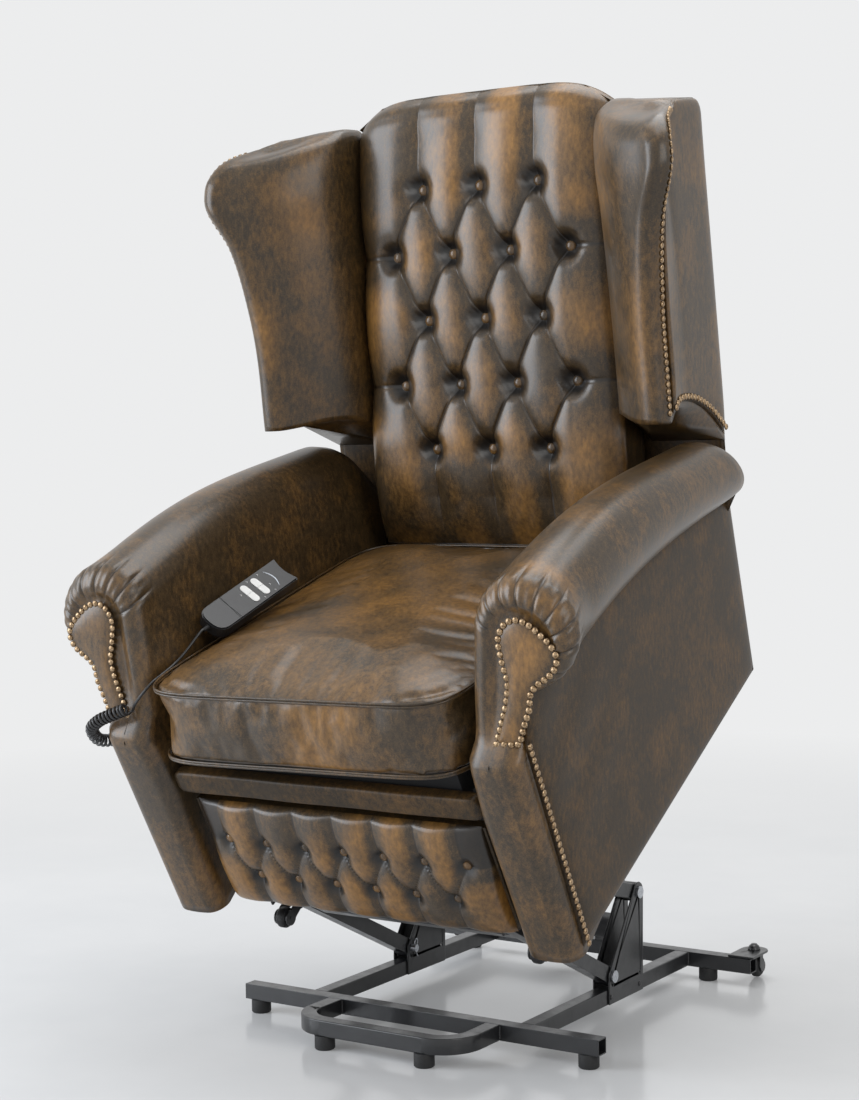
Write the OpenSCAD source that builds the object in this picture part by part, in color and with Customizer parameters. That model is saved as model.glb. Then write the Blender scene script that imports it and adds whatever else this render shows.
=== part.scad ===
// Wingback recliner that rises and tips forward, with a deep-buttoned back, scroll arms,
// a buttoned footrest board and a steel lifting base. It is drawn risen, in millimetres.
// The floor is Z = 0, the chair faces -Y, and left and right are as seen from in front.

/* [Chair pose] */
// Forward tip of the seat when the chair has risen, in degrees
rise_tilt = 30; // [24:1:32]
// Height of the front lower corner of the side panels above the floor
chair_z = 217; // [205:1:240]
// Place of that corner along Y
chair_y = -264; // [-290:1:-250]

/* [Base] */
// Side of the square base tubes
tube = 25; // [20:1:30]
// Wall of the base tubes
tube_wall = 2; // [1.5:0.5:3]
// Height of the feet under the tubes
foot_h = 22; // [15:1:35]
// Radius of a foot
foot_r = 16; // [12:1:20]
// Length of the front cross tube
front_tube_len = 662; // [600:2:720]
// How much shorter the rear cross tube is than the front one
rear_tube_less = 12; // [0:2:24]
// Front face of the front cross tube along Y
front_tube_y = -150; // [-170:1:-130]
// Front face of the rear cross tube along Y
rear_tube_y = 405; // [380:1:440]
// Outer face of the side rails from the middle
rail_out = 208; // [190:1:230]
// Half the outer width of the front loop
loop_half_w = 160; // [140:1:170]
// Reach of the front loop ahead of the front cross tube
loop_reach = 120; // [100:1:150]
// Outer radius of the loop's corners
loop_r = 65; // [50:1:80]
// Place of the loop's feet from the middle
loop_foot_x = 92; // [60:1:110]
// Place of the rear feet from the middle
rear_foot_x = 240; // [225:1:260]
// Thickness of the bracket plates
plate_t = 3; // [2:0.5:4]

/* [Lift linkage] */
// Lower bracket pivot along Y
low_pivot_y = 124; // [115:1:135]
// Height of the lower bracket pivot
low_pivot_z = 67; // [62:1:75]
// Upper bracket pivot along Y
top_pivot_y = 215; // [205:1:220]
// Height of the upper bracket pivot
top_pivot_z = 188; // [180:1:195]
// Seat pivot of the main link, back from the front corner
q1_u = 48.5; // [40:0.5:60]
// Seat pivot of the main link, up from the bottom edge
q1_w = -9; // [-15:0.5:0]
// Seat pivot of the second link, back from the front corner
q2_u = 87; // [80:0.5:95]
// Seat pivot of the second link, up from the bottom edge
q2_w = 41; // [36:0.5:46]
// Radius of the pivot pins
pin_r = 6; // [5:0.5:7]
// Play round the open pivot of the second link
q2_play = 4; // [3.6:0.1:5]
// Distance of the link cross bar from the lower pivot
cross_bar_at = 288; // [280:1:300]
// Side of the link cross bar
cross_bar_t = 23; // [18:1:24]

/* [Castors] */
// Radius of the rear castor wheels
castor_r = 19; // [16:1:21]
// Width of the rear castor wheels
castor_w = 16; // [12:1:20]
// Place of the rear castor stems in from the ends of the front cross tube
castor_in = 25; // [17:1:35]
// Place of the rear castor stems behind the rear cross tube's front face
castor_back = 58; // [54:1:64]
// Trail of the wheels behind the stems
castor_trail = 12; // [8:1:16]
// Radius of the small front wheels on the link cross bar
roller_r = 17; // [14:1:19]
// Width of the small front wheels
roller_w = 18; // [14:1:22]
// Drop of the small front wheels below the links
roller_drop = 32; // [28:1:36]
// Reach of the small front wheels ahead of the cross bar
roller_reach = 14; // [13:1:18]

/* [Seat] */
// Length of the side panels along their bottom edge
panel_len = 678; // [650:1:700]
// Height of the side panels at their front edge
panel_front_h = 344; // [330:1:356]
// Height of the side panels at their rear edge
panel_rear_h = 303; // [290:1:312]
// Rearward lean of the panels' rear edge over that height
panel_rear_lean = 66; // [50:1:80]
// Outer face of the side panels from the middle
panel_x = 377; // [370:1:384]
// Thickness of the side panels
panel_t = 6; // [4:1:10]
// Inner face of the arms from the middle
arm_in_x = 279; // [276:1:286]
// Radius of the arm roll at the front
roll_r = 72; // [64:1:76]
// Radius of the arm roll at the rear
roll_rear_r = 62; // [56:1:66]
// Middle of the arm roll from the middle of the chair
roll_x = 368; // [360:1:374]
// Height of the middle of the arm roll at the front
roll_w = 480; // [465:1:490]
// Widening of the arm roll's outer half at its front face
roll_flare = 14; // [0:1:18]
// Height of the middle of the arm roll at the rear
roll_rear_w = 366; // [350:1:380]
// Rise of the arm roll's arch between its ends
roll_arch = 31; // [0:1:36]
// Half the width of the seat cushion
cushion_half_w = 268; // [250:1:269]
// Depth of the seat cushion
cushion_len = 655; // [630:1:665]
// Thickness of the seat cushion at its piping
cushion_t = 113; // [100:1:120]
// Rise of the cushion's crown above its piping
cushion_crown = 24; // [10:1:30]
// Fall of the cushion towards the back, in degrees
cushion_fall = 13; // [10:0.5:15]
// Height of the cushion's front bottom edge
cushion_w = 306; // [300:1:320]
// Height of the front rail's bottom edge
front_rail_w = 229; // [224:1:234]
// Height of the front rail
front_rail_h = 26; // [20:1:30]

/* [Footrest] */
// Half the width of the footrest board
board_half_w = 262; // [250:1:268]
// Height of the footrest board
board_h = 190; // [180:1:196]
// Thickness of the footrest board
board_t = 15; // [12:1:18]
// Thickness of the footrest padding at its crests
board_pad_t = 27; // [20:1:30]
// Radius of the footrest buttons
board_button_r = 8; // [6:1:10]
// Reach of the rear footrest link's pivot ahead of the front seat bar
foot_ear_reach = 25; // [19:1:31]
// Rear footrest link's pivot, up from the bottom edge
foot_pivot_w = 215; // [208:1:218]
// Length of the rear footrest links
foot_link_len = 170; // [160:1:172]

/* [Back] */
// Recline pivot, back from the front corner
hinge_u = 640; // [635:1:650]
// Recline pivot, up from the bottom edge
hinge_w = 230; // [222:1:236]
// Forward lean of the back when the chair has risen, in degrees
back_lean = 3; // [0:0.5:5]
// Height of the back above the recline pivot
back_h = 776; // [740:1:790]
// Half the width of the back pad
back_half_w = 243; // [236:1:248]
// Reach of the back pad's crests ahead of the recline pivot
back_pad_reach = 82; // [76:1:86]
// Distance between neighbouring buttons of one row
button_pitch = 110; // [104:1:114]
// Distance between button rows
row_pitch = 107.5; // [104:0.5:110]
// Height of the lowest button row above the recline pivot
row_base = 192; // [185:1:196]
// Depth of the button dimples below the crests
tuft_depth = 30; // [20:1:34]
// Radius of the back buttons
button_r = 10; // [8:1:12]

/* [Handset] */
// Length of the handset
handset_len = 184; // [170:1:190]
// Width of the handset
handset_w = 53; // [50:1:58]
// Thickness of the handset
handset_t = 21; // [18:1:24]
// Travel of its buttons
key_travel = 0.8; // [0.5:0.1:1]
// Diameter of the handset cord
cord_d = 4.4; // [4:0.1:4.6]
// Outer diameter of the curly stretch
curl_d = 21; // [19:0.5:24]
// Number of curls
curls = 24; // [18:1:25]

/* [Hidden] */

// Colours
steel_black = [0.07, 0.07, 0.08];
zinc = [0.72, 0.71, 0.66];
leather = [0.30, 0.18, 0.09];
leather_dark = [0.24, 0.15, 0.09];
wood = [0.72, 0.57, 0.38];
cloth_black = [0.05, 0.05, 0.05];
plastic_dark = [0.13, 0.13, 0.14];
key_white = [0.93, 0.93, 0.92];
rubber_black = [0.04, 0.04, 0.04];

// Allowances
over = 1;
rim = 0.3;
bore_play = 0.1;
side_play = 0.5;
round_fn = 48;
small_fn = 32;

// Derived base places
tube_top = foot_h + tube;
rear_tube_len = front_tube_len - rear_tube_less;
rail_in = rail_out - tube;
plate_in = rail_in - plate_t;
rail_front = front_tube_y + tube;
low_pivot = [low_pivot_y, low_pivot_z];
top_pivot = [top_pivot_y, top_pivot_z];
low_eye_r = 14;
top_eye_r = 17;
plate_front = low_pivot_y - low_eye_r;
plate_rear = top_pivot_y + top_eye_r - plate_t;

// Chair frame: u runs back along the side panels' bottom edge, w stands square to it
function chair_pt(u, w) = [
    chair_y + u * cos(rise_tilt) - w * sin(rise_tilt),
    chair_z + u * sin(rise_tilt) + w * cos(rise_tilt)
];
function aim(a, b) = atan2(b[1] - a[1], b[0] - a[0]);
function gap(a, b) = norm(b - a);
function along(a, b, d) = a + (b - a) / norm(b - a) * d;
function mix(a, b, t) = a + (b - a) * t;
function clamp(v, lo, hi) = min(max(v, lo), hi);
function sgn_pow(v, p) = sign(v) * pow(abs(v), p);

q1 = chair_pt(q1_u, q1_w);
q2 = chair_pt(q2_u, q2_w);
hinge_pt = chair_pt(hinge_u, hinge_w);

module in_chair() {
    translate([0, chair_y, chair_z]) rotate([rise_tilt, 0, 0]) children();
}
module in_back() {
    translate([0, hinge_pt[0], hinge_pt[1]]) rotate([back_lean, 0, 0]) children();
}
// A round bar, bore or disc along X, from x0 to x1, round the point p = [y, z]
module x_bar(p, x0, x1, r) {
    translate([x0, p[0], p[1]]) rotate([0, 90, 0]) cylinder(h = x1 - x0, r = r, $fn = round_fn);
}
// A square bar of a link from a to b in the YZ plane
module strut(a, b, x0, x1, high) {
    translate([x0, a[0], a[1]]) rotate([aim(a, b), 0, 0])
        translate([0, 0, -high / 2]) cube([x1 - x0, gap(a, b), high]);
}
// Closed skin over rings of points, with a middle point closing each end
module skin(rings) {
    n = len(rings[0]);
    m = len(rings);
    pts = concat([for (r = rings) each r], [middle(rings[0]), middle(rings[m - 1])]);
    sides = [for (i = [0 : m - 2], j = [0 : n - 1]) each [
        [i * n + j, (i + 1) * n + (j + 1) % n, i * n + (j + 1) % n],
        [i * n + j, (i + 1) * n + j, (i + 1) * n + (j + 1) % n]
    ]];
    first = [for (j = [0 : n - 1]) [m * n, j, (j + 1) % n]];
    last = [for (j = [0 : n - 1]) [m * n + 1, (m - 1) * n + (j + 1) % n, (m - 1) * n + j]];
    polyhedron(points = pts, faces = concat(sides, first, last), convexity = 6);
}
function middle(pts) = [for (k = [0 : 2]) let (v = [for (p = pts) p[k]]) sum(v) / len(v)];
function sum(v) = v * [for (x = v) 1];

// Base frame of square tube
module tube_x(len_x, y0) {
    translate([-len_x / 2, y0, foot_h]) difference() {
        cube([len_x, tube, tube]);
        translate([-over, tube_wall, tube_wall])
            cube([len_x + 2 * over, tube - 2 * tube_wall, tube - 2 * tube_wall]);
    }
}
motor_ear_x = 24;
motor_ear_t = 4;
motor_pivot_up = 16;
motor_ear_r = 12;
motor_pivot = [rear_tube_y + tube / 2, tube_top + motor_pivot_up];
module motor_ear(x0) {
    difference() {
        union() {
            x_bar(motor_pivot, x0, x0 + motor_ear_t, motor_ear_r);
            translate([x0, motor_pivot[0] - motor_ear_r, tube_top])
                cube([motor_ear_t, 2 * motor_ear_r, motor_pivot_up]);
        }
        x_bar(motor_pivot, x0 - over, x0 + motor_ear_t + over, pin_r);
    }
}
module cross_tubes() {
    color(steel_black) {
        tube_x(front_tube_len, front_tube_y);
        tube_x(rear_tube_len, rear_tube_y);
        motor_ear(motor_ear_x);
        motor_ear(-motor_ear_x - motor_ear_t);
    }
}
module side_rails() {
    color(steel_black) for (side = [-1, 1])
        translate([side * (rail_in + tube / 2) - tube / 2, rail_front, foot_h]) difference() {
            cube([tube, rear_tube_y - rail_front, tube]);
            translate([tube_wall, -over, tube_wall])
                cube([tube - 2 * tube_wall, rear_tube_y - rail_front + 2 * over, tube - 2 * tube_wall]);
        }
}
// U outline with two round corners towards -Y
module loop_outline(half_w, reach, r) {
    translate([-half_w, -reach + r]) square([2 * half_w, reach - r]);
    intersection() {
        union() {
            translate([-half_w + r, -reach]) square([2 * (half_w - r), 2 * r]);
            for (side = [-1, 1]) translate([side * (half_w - r), -reach + r]) circle(r = r, $fn = round_fn);
        }
        translate([-half_w, -reach]) square([2 * half_w, reach]);
    }
}
module front_loop() {
    color(steel_black) translate([0, front_tube_y, foot_h]) linear_extrude(tube) difference() {
        loop_outline(loop_half_w, loop_reach, loop_r);
        translate([0, over]) loop_outline(loop_half_w - tube, loop_reach - tube + over, loop_r - tube);
    }
}
foot_chamfer = 2;
module foot(x, y) {
    translate([x, y, 0]) rotate_extrude($fn = round_fn) polygon([
        [0, 0], [foot_r - foot_chamfer, 0], [foot_r, foot_chamfer], [foot_r, foot_h], [0, foot_h]
    ]);
}
front_foot_in = 23;
module base_feet() {
    color(rubber_black) for (side = [-1, 1]) {
        foot(side * (front_tube_len / 2 - front_foot_in), front_tube_y + tube / 2);
        foot(side * loop_foot_x, front_tube_y - loop_reach + tube / 2);
        foot(side * rear_foot_x, rear_tube_y + tube / 2);
    }
}
// Bracket plate outline in the YZ plane, from the floor side of the rail to both pivots
slope_n = let (d = (top_pivot - low_pivot) / norm(top_pivot - low_pivot)) [-d[1], d[0]];
module bracket_plate(x0) {
    difference() {
        union() {
            translate([x0, 0, 0]) rotate([90, 0, 90]) linear_extrude(plate_t) polygon([
                [plate_front, foot_h], [plate_rear, foot_h], [top_pivot_y + top_eye_r, top_pivot_z],
                top_pivot + slope_n * top_eye_r, low_pivot + slope_n * low_eye_r,
                [plate_front, low_pivot_z]
            ]);
            x_bar(top_pivot, x0, x0 + plate_t, top_eye_r);
            x_bar(low_pivot, x0, x0 + plate_t, low_eye_r);
        }
        x_bar(top_pivot, x0 - over, x0 + plate_t + over, pin_r);
        x_bar(low_pivot, x0 - over, x0 + plate_t + over, pin_r);
        x_bar([plate_rear - stud_in, foot_h + tube + stud_up], x0 - over, x0 + plate_t + over, stud_r);
        x_bar([plate_front + stud_in, foot_h + tube + stud_up], x0 - over, x0 + plate_t + over, stud_r);
    }
}
stud_in = 12;
stud_up = 6;
stud_r = 2.5;
module bracket_pair() {
    bracket_plate(rail_out);
    bracket_plate(plate_in);
}
module lift_brackets() {
    color(steel_black) for (side = [0, 1]) mirror([side, 0, 0]) bracket_pair();
}
pin_head_r = 10;
pin_head_t = 4;
pin_tail = 9;
module base_pin(p) {
    x_bar(p, plate_in - pin_tail, rail_out + plate_t, pin_r);
    x_bar(p, rail_out + plate_t, rail_out + plate_t + pin_head_t, pin_head_r);
}
module base_pivot_pins() {
    color(zinc) for (side = [0, 1]) mirror([side, 0, 0]) {
        base_pin(low_pivot);
        base_pin(top_pivot);
    }
    color(zinc) x_bar(motor_pivot, -motor_ear_x - motor_ear_t, motor_ear_x + motor_ear_t, pin_r);
}
// Rear castors: plate on the cross tube, swivel fork and wheel
castor_x = front_tube_len / 2 - castor_in;
castor_y = rear_tube_y + castor_back;
wheel_lift = 1;
castor_z = castor_r + wheel_lift;
castor_plate_t = 4;
castor_plate_r = 24;
stem_r = 5;
nut_r = 11;
nut_h = 10;
crown_t = 4;
fork_t = 2.5;
fork_gap = 1;
crown_z = tube_top - crown_t - over;
module castor_plate(x) {
    difference() {
        union() {
            translate([x, castor_y, tube_top])
                cylinder(h = castor_plate_t, r = castor_plate_r, $fn = round_fn);
            translate([x - castor_plate_r, rear_tube_y + over, tube_top])
                cube([2 * castor_plate_r, castor_back - over, castor_plate_t]);
        }
        translate([x, castor_y, tube_top - over])
            cylinder(h = castor_plate_t + 2 * over, r = stem_r + bore_play, $fn = round_fn);
    }
}
module rear_castor_plates() {
    color(steel_black) for (side = [-1, 1]) castor_plate(side * castor_x);
}
module castor_fork(x) {
    half = castor_w / 2 + fork_gap;
    color(steel_black) translate([x, castor_y, 0]) {
        translate([0, 0, crown_z]) cylinder(h = tube_top - rim - crown_z, r = half + fork_t, $fn = round_fn);
        translate([0, 0, crown_z + rim])
            cylinder(h = tube_top + castor_plate_t + nut_h - crown_z - rim, r = stem_r, $fn = round_fn);
        translate([0, 0, tube_top + castor_plate_t + rim]) rotate_extrude($fn = round_fn) intersection() {
            translate([0, -nut_r + nut_h]) circle(r = nut_r, $fn = round_fn);
            square([nut_r, nut_h]);
        }
        for (side = [-1, 1]) translate([side * (half + fork_t / 2) - fork_t / 2, 0, 0]) {
            translate([0, 0, castor_z]) cube([fork_t, castor_trail, crown_z + rim - castor_z]);
            x_bar([castor_trail, castor_z], 0, fork_t, castor_r / 2);
        }
        x_bar([castor_trail, castor_z], -half - fork_t, half + fork_t, axle_r);
    }
}
axle_r = 3;
module rear_castor_fork_left() { castor_fork(-castor_x); }
module rear_castor_fork_right() { castor_fork(castor_x); }
tread_round = 4;
module wheel(r, w, bore) {
    rotate([0, 90, 0]) rotate_extrude($fn = round_fn) polygon([
        [bore, -w / 2], [r - tread_round, -w / 2], [r, -w / 2 + tread_round],
        [r, w / 2 - tread_round], [r - tread_round, w / 2], [bore, w / 2]
    ]);
}
module castor_wheel(x) {
    color(rubber_black) translate([x, castor_y + castor_trail, castor_z])
        wheel(castor_r, castor_w, axle_r + bore_play);
}
module rear_castor_wheel_left() { castor_wheel(-castor_x); }
module rear_castor_wheel_right() { castor_wheel(castor_x); }

// Lifting links
link_x0 = rail_in + side_play;
link_x1 = rail_out - side_play;
link_eye_r = 16;
bar_pt = along(low_pivot, q1, cross_bar_at);
link_dir = (q1 - low_pivot) / norm(q1 - low_pivot);
link_up = [link_dir[1], -link_dir[0]];
roller_pt = low_pivot + link_dir * (cross_bar_at + roller_reach) - link_up * roller_drop;
roller_x = 238;
roller_fork_t = 3;
roller_fork_r = 9;
roller_bar_r = 8;
roller_eye_r = 12.5;
// Flat bar from a to b with a round eye and a bore at each end
module link_outline(a, b, high, eye, ra, rb) {
    difference() {
        union() {
            translate(a) rotate(aim(a, b)) translate([0, -high / 2]) square([gap(a, b), high]);
            translate(a) circle(r = eye, $fn = round_fn);
            translate(b) circle(r = eye, $fn = round_fn);
        }
        translate(a) circle(r = ra, $fn = round_fn);
        translate(b) circle(r = rb, $fn = round_fn);
    }
}
module link_bar(a, b, far_r) {
    translate([link_x0, 0, 0]) rotate([90, 0, 90]) linear_extrude(link_x1 - link_x0)
        link_outline(a, b, tube, link_eye_r, pin_r + bore_play, far_r);
}
module roller_fork(x0) {
    translate([x0, 0, 0]) rotate([90, 0, 90]) linear_extrude(roller_fork_t)
        link_outline(roller_pt, bar_pt, 2 * roller_fork_r, roller_eye_r, axle_r / 2, axle_r / 2);
}
module lift_arms() {
    half = roller_w / 2 + fork_gap;
    color(steel_black) for (side = [0, 1]) mirror([side, 0, 0]) {
        link_bar(low_pivot, q1, pin_r + bore_play);
        roller_fork(roller_x - half - roller_fork_t);
        roller_fork(roller_x + half);
        reach = half + roller_fork_t + over;
        x_bar(bar_pt, link_x1 - over, roller_x + reach, roller_bar_r);
        x_bar(roller_pt, roller_x - reach, roller_x + reach, axle_r);
    }
}
module lift_cross_bar() {
    color(steel_black) translate([0, bar_pt[0], bar_pt[1]]) rotate([aim(low_pivot, q1), 0, 0])
        translate([-cross_bar_half, -cross_bar_t / 2, -cross_bar_t / 2])
            cube([2 * cross_bar_half, cross_bar_t, cross_bar_t]);
}
cross_bar_half = link_x0 - rim;
module roller(x) {
    color(rubber_black) translate([x, roller_pt[0], roller_pt[1]])
        wheel(roller_r, roller_w, axle_r + bore_play);
}
module front_roller_left() { roller(-roller_x); }
module front_roller_right() { roller(roller_x); }
module rear_lift_links() {
    color(steel_black) for (side = [0, 1]) mirror([side, 0, 0]) link_bar(top_pivot, q2, pin_r + q2_play);
}

// Actuators: local Y runs from the rear eye to the tip, the motor sits beside the gear case
eye_w = 16;
eye_r = 12;
case_from = 30;
case_len = 52;
case_half = 24;
motor_r = 22;
motor_len = 78;
barrel_r = 16;
barrel_wall = 4;
module actuator_body(barrel_end, motor_turn) {
    color(plastic_dark) difference() {
        union() {
            x_bar([0, 0], -eye_w / 2, eye_w / 2, eye_r);
            translate([-eye_w / 2, 0, -eye_r]) cube([eye_w, case_from + over, 2 * eye_r]);
            translate([-case_half, case_from, -case_half]) cube([2 * case_half, case_len, 2 * case_half]);
            translate([0, case_from + case_len - over, 0]) rotate([-90, 0, 0])
                cylinder(h = barrel_end - case_from - case_len + over, r = barrel_r, $fn = round_fn);
            translate([0, case_from + case_len / 2, 0]) rotate([0, motor_turn, 0])
                translate([0, 0, case_half - over]) cylinder(h = motor_len, r = motor_r, $fn = round_fn);
        }
        x_bar([0, 0], -eye_w, eye_w, pin_r + bore_play);
        translate([0, case_from + case_len, 0]) rotate([-90, 0, 0])
            cylinder(h = barrel_end, r = barrel_r - barrel_wall, $fn = round_fn);
    }
}
rod_play = 0.3;
neck_len = 34;
neck_half = 8;
rod_r = barrel_r - barrel_wall - rod_play;
module actuator_rod(from, tip, play) {
    color(zinc) difference() {
        union() {
            translate([0, from, 0]) rotate([-90, 0, 0])
                cylinder(h = tip - from - neck_len, r = rod_r, $fn = round_fn);
            translate([-eye_w / 2, tip - neck_len - over, -neck_half])
                cube([eye_w, neck_len + over, 2 * neck_half]);
            x_bar([tip, 0], -eye_w / 2, eye_w / 2, pin_r + play + tip_wall);
        }
        x_bar([tip, 0], -eye_w, eye_w, pin_r + play);
    }
}
tip_wall = 6;
module at_line(x, a, b) {
    translate([x, a[0], a[1]]) rotate([aim(a, b), 0, 0]) children();
}
motor_side = 90;
motor_below = 180;
motor_inward = -90;
lift_tip_u = 100;
lift_tip_w = 100;
lift_tip = chair_pt(lift_tip_u, lift_tip_w);
lift_play = 9;
lift_barrel = 480;
lift_rod_in = 400;
module lift_motor() { at_line(0, motor_pivot, lift_tip) actuator_body(lift_barrel, motor_side); }
module lift_rod() {
    at_line(0, motor_pivot, lift_tip) actuator_rod(lift_rod_in, gap(motor_pivot, lift_tip), lift_play);
}

// Seat chassis, in the chair frame
chassis_x = rail_out + plate_t + over;
chassis_t = 4;
spring_t = 3.5;
under_tan = tan(cushion_fall);
cushion_u = -40;
function under(u) = cushion_w - (u - cushion_u) * under_tan;
rail_drop = 25;
rail_h = 26;
rail_u0 = 48;
mid_tube_u = 318;
mid_tube_w = 188;
front_bar_u = 115;
front_bar_w = 222;
rear_bar_u = 652;
rear_bar_w = 60;
hinge_r = 14;
riser_half = 12;
recline_drop = 58;
foot_drop = 38;
recline_base = [mid_tube_u + tube / 2, mid_tube_w - recline_drop];
foot_base = [mid_tube_u + tube / 2, mid_tube_w - foot_drop];
recline_motor_x = -90;
foot_motor_x = 130;
ear_gap = 1;
ear_t = 4;
foot_pivot_u = front_bar_u - foot_ear_reach;
foot_pivot = [foot_pivot_u, foot_pivot_w];
hanger_reach = 21;
hanger_drop = 21;
hanger_w0 = 200;
foot_ear_x = 142;
module chassis_bar(u, w, half) {
    translate([-half, u, w]) cube([2 * half, tube, tube]);
}
// Two ears hanging from a bar's underside to the pivot p
module hung_ears(x, p, top_u, top_w) {
    for (side = [-1, 1]) {
        x0 = x + side * (eye_w / 2 + ear_gap + ear_t / 2) - ear_t / 2;
        difference() {
            union() {
                strut(p, [top_u, top_w], x0, x0 + ear_t, 2 * eye_r);
                x_bar(p, x0, x0 + ear_t, eye_r);
            }
            x_bar(p, x0 - over, x0 + ear_t + over, pin_r);
        }
    }
    x_bar(p, x - eye_w / 2 - ear_gap - ear_t, x + eye_w / 2 + ear_gap + ear_t, pin_r);
}
module chassis_side() {
    rail_a = [rail_u0, under(rail_u0) - rail_drop];
    rail_b = [hinge_u, under(hinge_u) - rail_drop];
    difference() {
        union() {
            strut(rail_a, rail_b, chassis_x, chassis_x + chassis_t, rail_h);
            translate([chassis_x, hinge_u - riser_half, rear_bar_w])
                cube([chassis_t, 2 * riser_half, hinge_w - rear_bar_w]);
            translate([chassis_x, hinge_u - riser_half, rear_bar_w])
                cube([chassis_t, rear_bar_u + tube - hinge_u + riser_half, tube]);
            x_bar([hinge_u, hinge_w], chassis_x, chassis_x + chassis_t, hinge_r);
            translate([chassis_x, 0, 0]) rotate([90, 0, 90]) linear_extrude(chassis_t) polygon([
                [q1_u - hanger_reach, q1_w - hanger_drop], [q1_u + hanger_reach, q1_w - hanger_drop],
                [q2_u + hanger_reach, q2_w - hanger_drop], [front_bar_u + tube, front_bar_w],
                [front_bar_u + tube, front_bar_w + tube], [rail_u0, under(rail_u0) - rail_drop],
                [rail_u0, front_rail_w - rim], [q1_u - hanger_reach, hanger_w0]
            ]);
        }
        x_bar([hinge_u, hinge_w], chassis_x - over, chassis_x + chassis_t + over, pin_r + bore_play);
        x_bar([q1_u, q1_w], chassis_x - over, chassis_x + chassis_t + over, pin_r);
        x_bar([q2_u, q2_w], chassis_x - over, chassis_x + chassis_t + over, pin_r);
    }
}
module chassis_sides() {
    color(steel_black) in_chair() for (side = [0, 1]) mirror([side, 0, 0]) chassis_side();
}
module foot_ear() {
    difference() {
        union() {
            translate([foot_ear_x, foot_pivot_u, foot_pivot_w - eye_r])
                cube([ear_t, front_bar_u + over - foot_pivot_u, 2 * eye_r]);
            x_bar(foot_pivot, foot_ear_x, foot_ear_x + ear_t, eye_r);
        }
        x_bar(foot_pivot, foot_ear_x - over, foot_ear_x + ear_t + over, link_pin_r);
    }
    x_bar(foot_pivot, foot_ear_x, rear_link_x + link_t + link_gap, link_pin_r);
}
module chassis_bars() {
    color(steel_black) in_chair() {
        chassis_bar(front_bar_u, front_bar_w, chassis_x);
        chassis_bar(mid_tube_u, mid_tube_w, chassis_x);
        chassis_bar(rear_bar_u, rear_bar_w, chassis_x);
        for (side = [0, 1]) mirror([side, 0, 0]) foot_ear();
        hung_ears(0, [lift_tip_u, lift_tip_w], front_bar_u + tube / 2, front_bar_w + over);
        hung_ears(recline_motor_x, recline_base, recline_base[0], mid_tube_w + over);
        hung_ears(foot_motor_x, foot_base, foot_base[0], mid_tube_w + over);
    }
}
seat_pin_in = 3;
module seat_pivot_pins() {
    color(zinc) in_chair() for (side = [0, 1]) mirror([side, 0, 0]) for (p = [[q1_u, q1_w], [q2_u, q2_w]]) {
        x_bar(p, plate_in + seat_pin_in - pin_head_t, plate_in + seat_pin_in, pin_head_r);
        x_bar(p, plate_in + seat_pin_in, chassis_x + chassis_t, pin_r);
        x_bar(p, chassis_x + chassis_t, chassis_x + chassis_t + pin_head_t, pin_head_r);
    }
}
board_u = 22;
box_board_t = 22;
box_h = 46;
box_len_end = 600;
spring_bar_r = 4;
module seat_box() {
    color(wood) in_chair() {
        for (side = [0, 1]) mirror([side, 0, 0])
            strut([board_u + box_board_t, under(board_u + box_board_t) - box_h / 2 - spring_t - rim],
                [box_len_end, under(box_len_end) - box_h / 2 - spring_t - rim],
                chassis_x + chassis_t + rim, chassis_x + chassis_t + box_board_t, box_h);
        translate([-chassis_x - chassis_t - box_board_t, board_u, front_rail_w])
            cube([2 * (chassis_x + chassis_t + box_board_t), box_board_t,
                under(board_u + box_board_t) - spring_t - 2 * rim - front_rail_w]);
    }
}
// Sinuous springs in the plane under the cushion
spring_n = 5;
spring_span = 78;
spring_amp = 22;
spring_wave = 46;
spring_wire = 4;
spring_len = 560;
spring_steps = 4;
module spring_strip() {
    n = floor(spring_len / spring_wave) * spring_steps;
    line = [for (i = [0 : n]) [spring_amp * sin(360 * i / spring_steps), spring_len * i / n]];
    polygon(concat([for (p = line) p - [spring_wire / 2, 0]],
        [for (i = [n : -1 : 0]) line[i] + [spring_wire / 2, 0]]));
}
module in_cushion() {
    translate([0, cushion_u, cushion_w]) rotate([-cushion_fall, 0, 0]) children();
}
spring_v0 = 69;
module seat_springs() {
    color(zinc) in_chair() in_cushion() {
        for (i = [0 : spring_n - 1])
            translate([(i - (spring_n - 1) / 2) * spring_span, spring_v0, -rim - spring_t])
            linear_extrude(spring_t) spring_strip();
        translate([-chassis_x, spring_v0 + spring_len, -rim - spring_t])
            cube([2 * chassis_x, spring_wire, spring_t]);
        translate([-chassis_x, spring_v0 - spring_wire, -rim - spring_t])
            cube([2 * chassis_x, spring_wire, spring_t]);
    }
}
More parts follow.
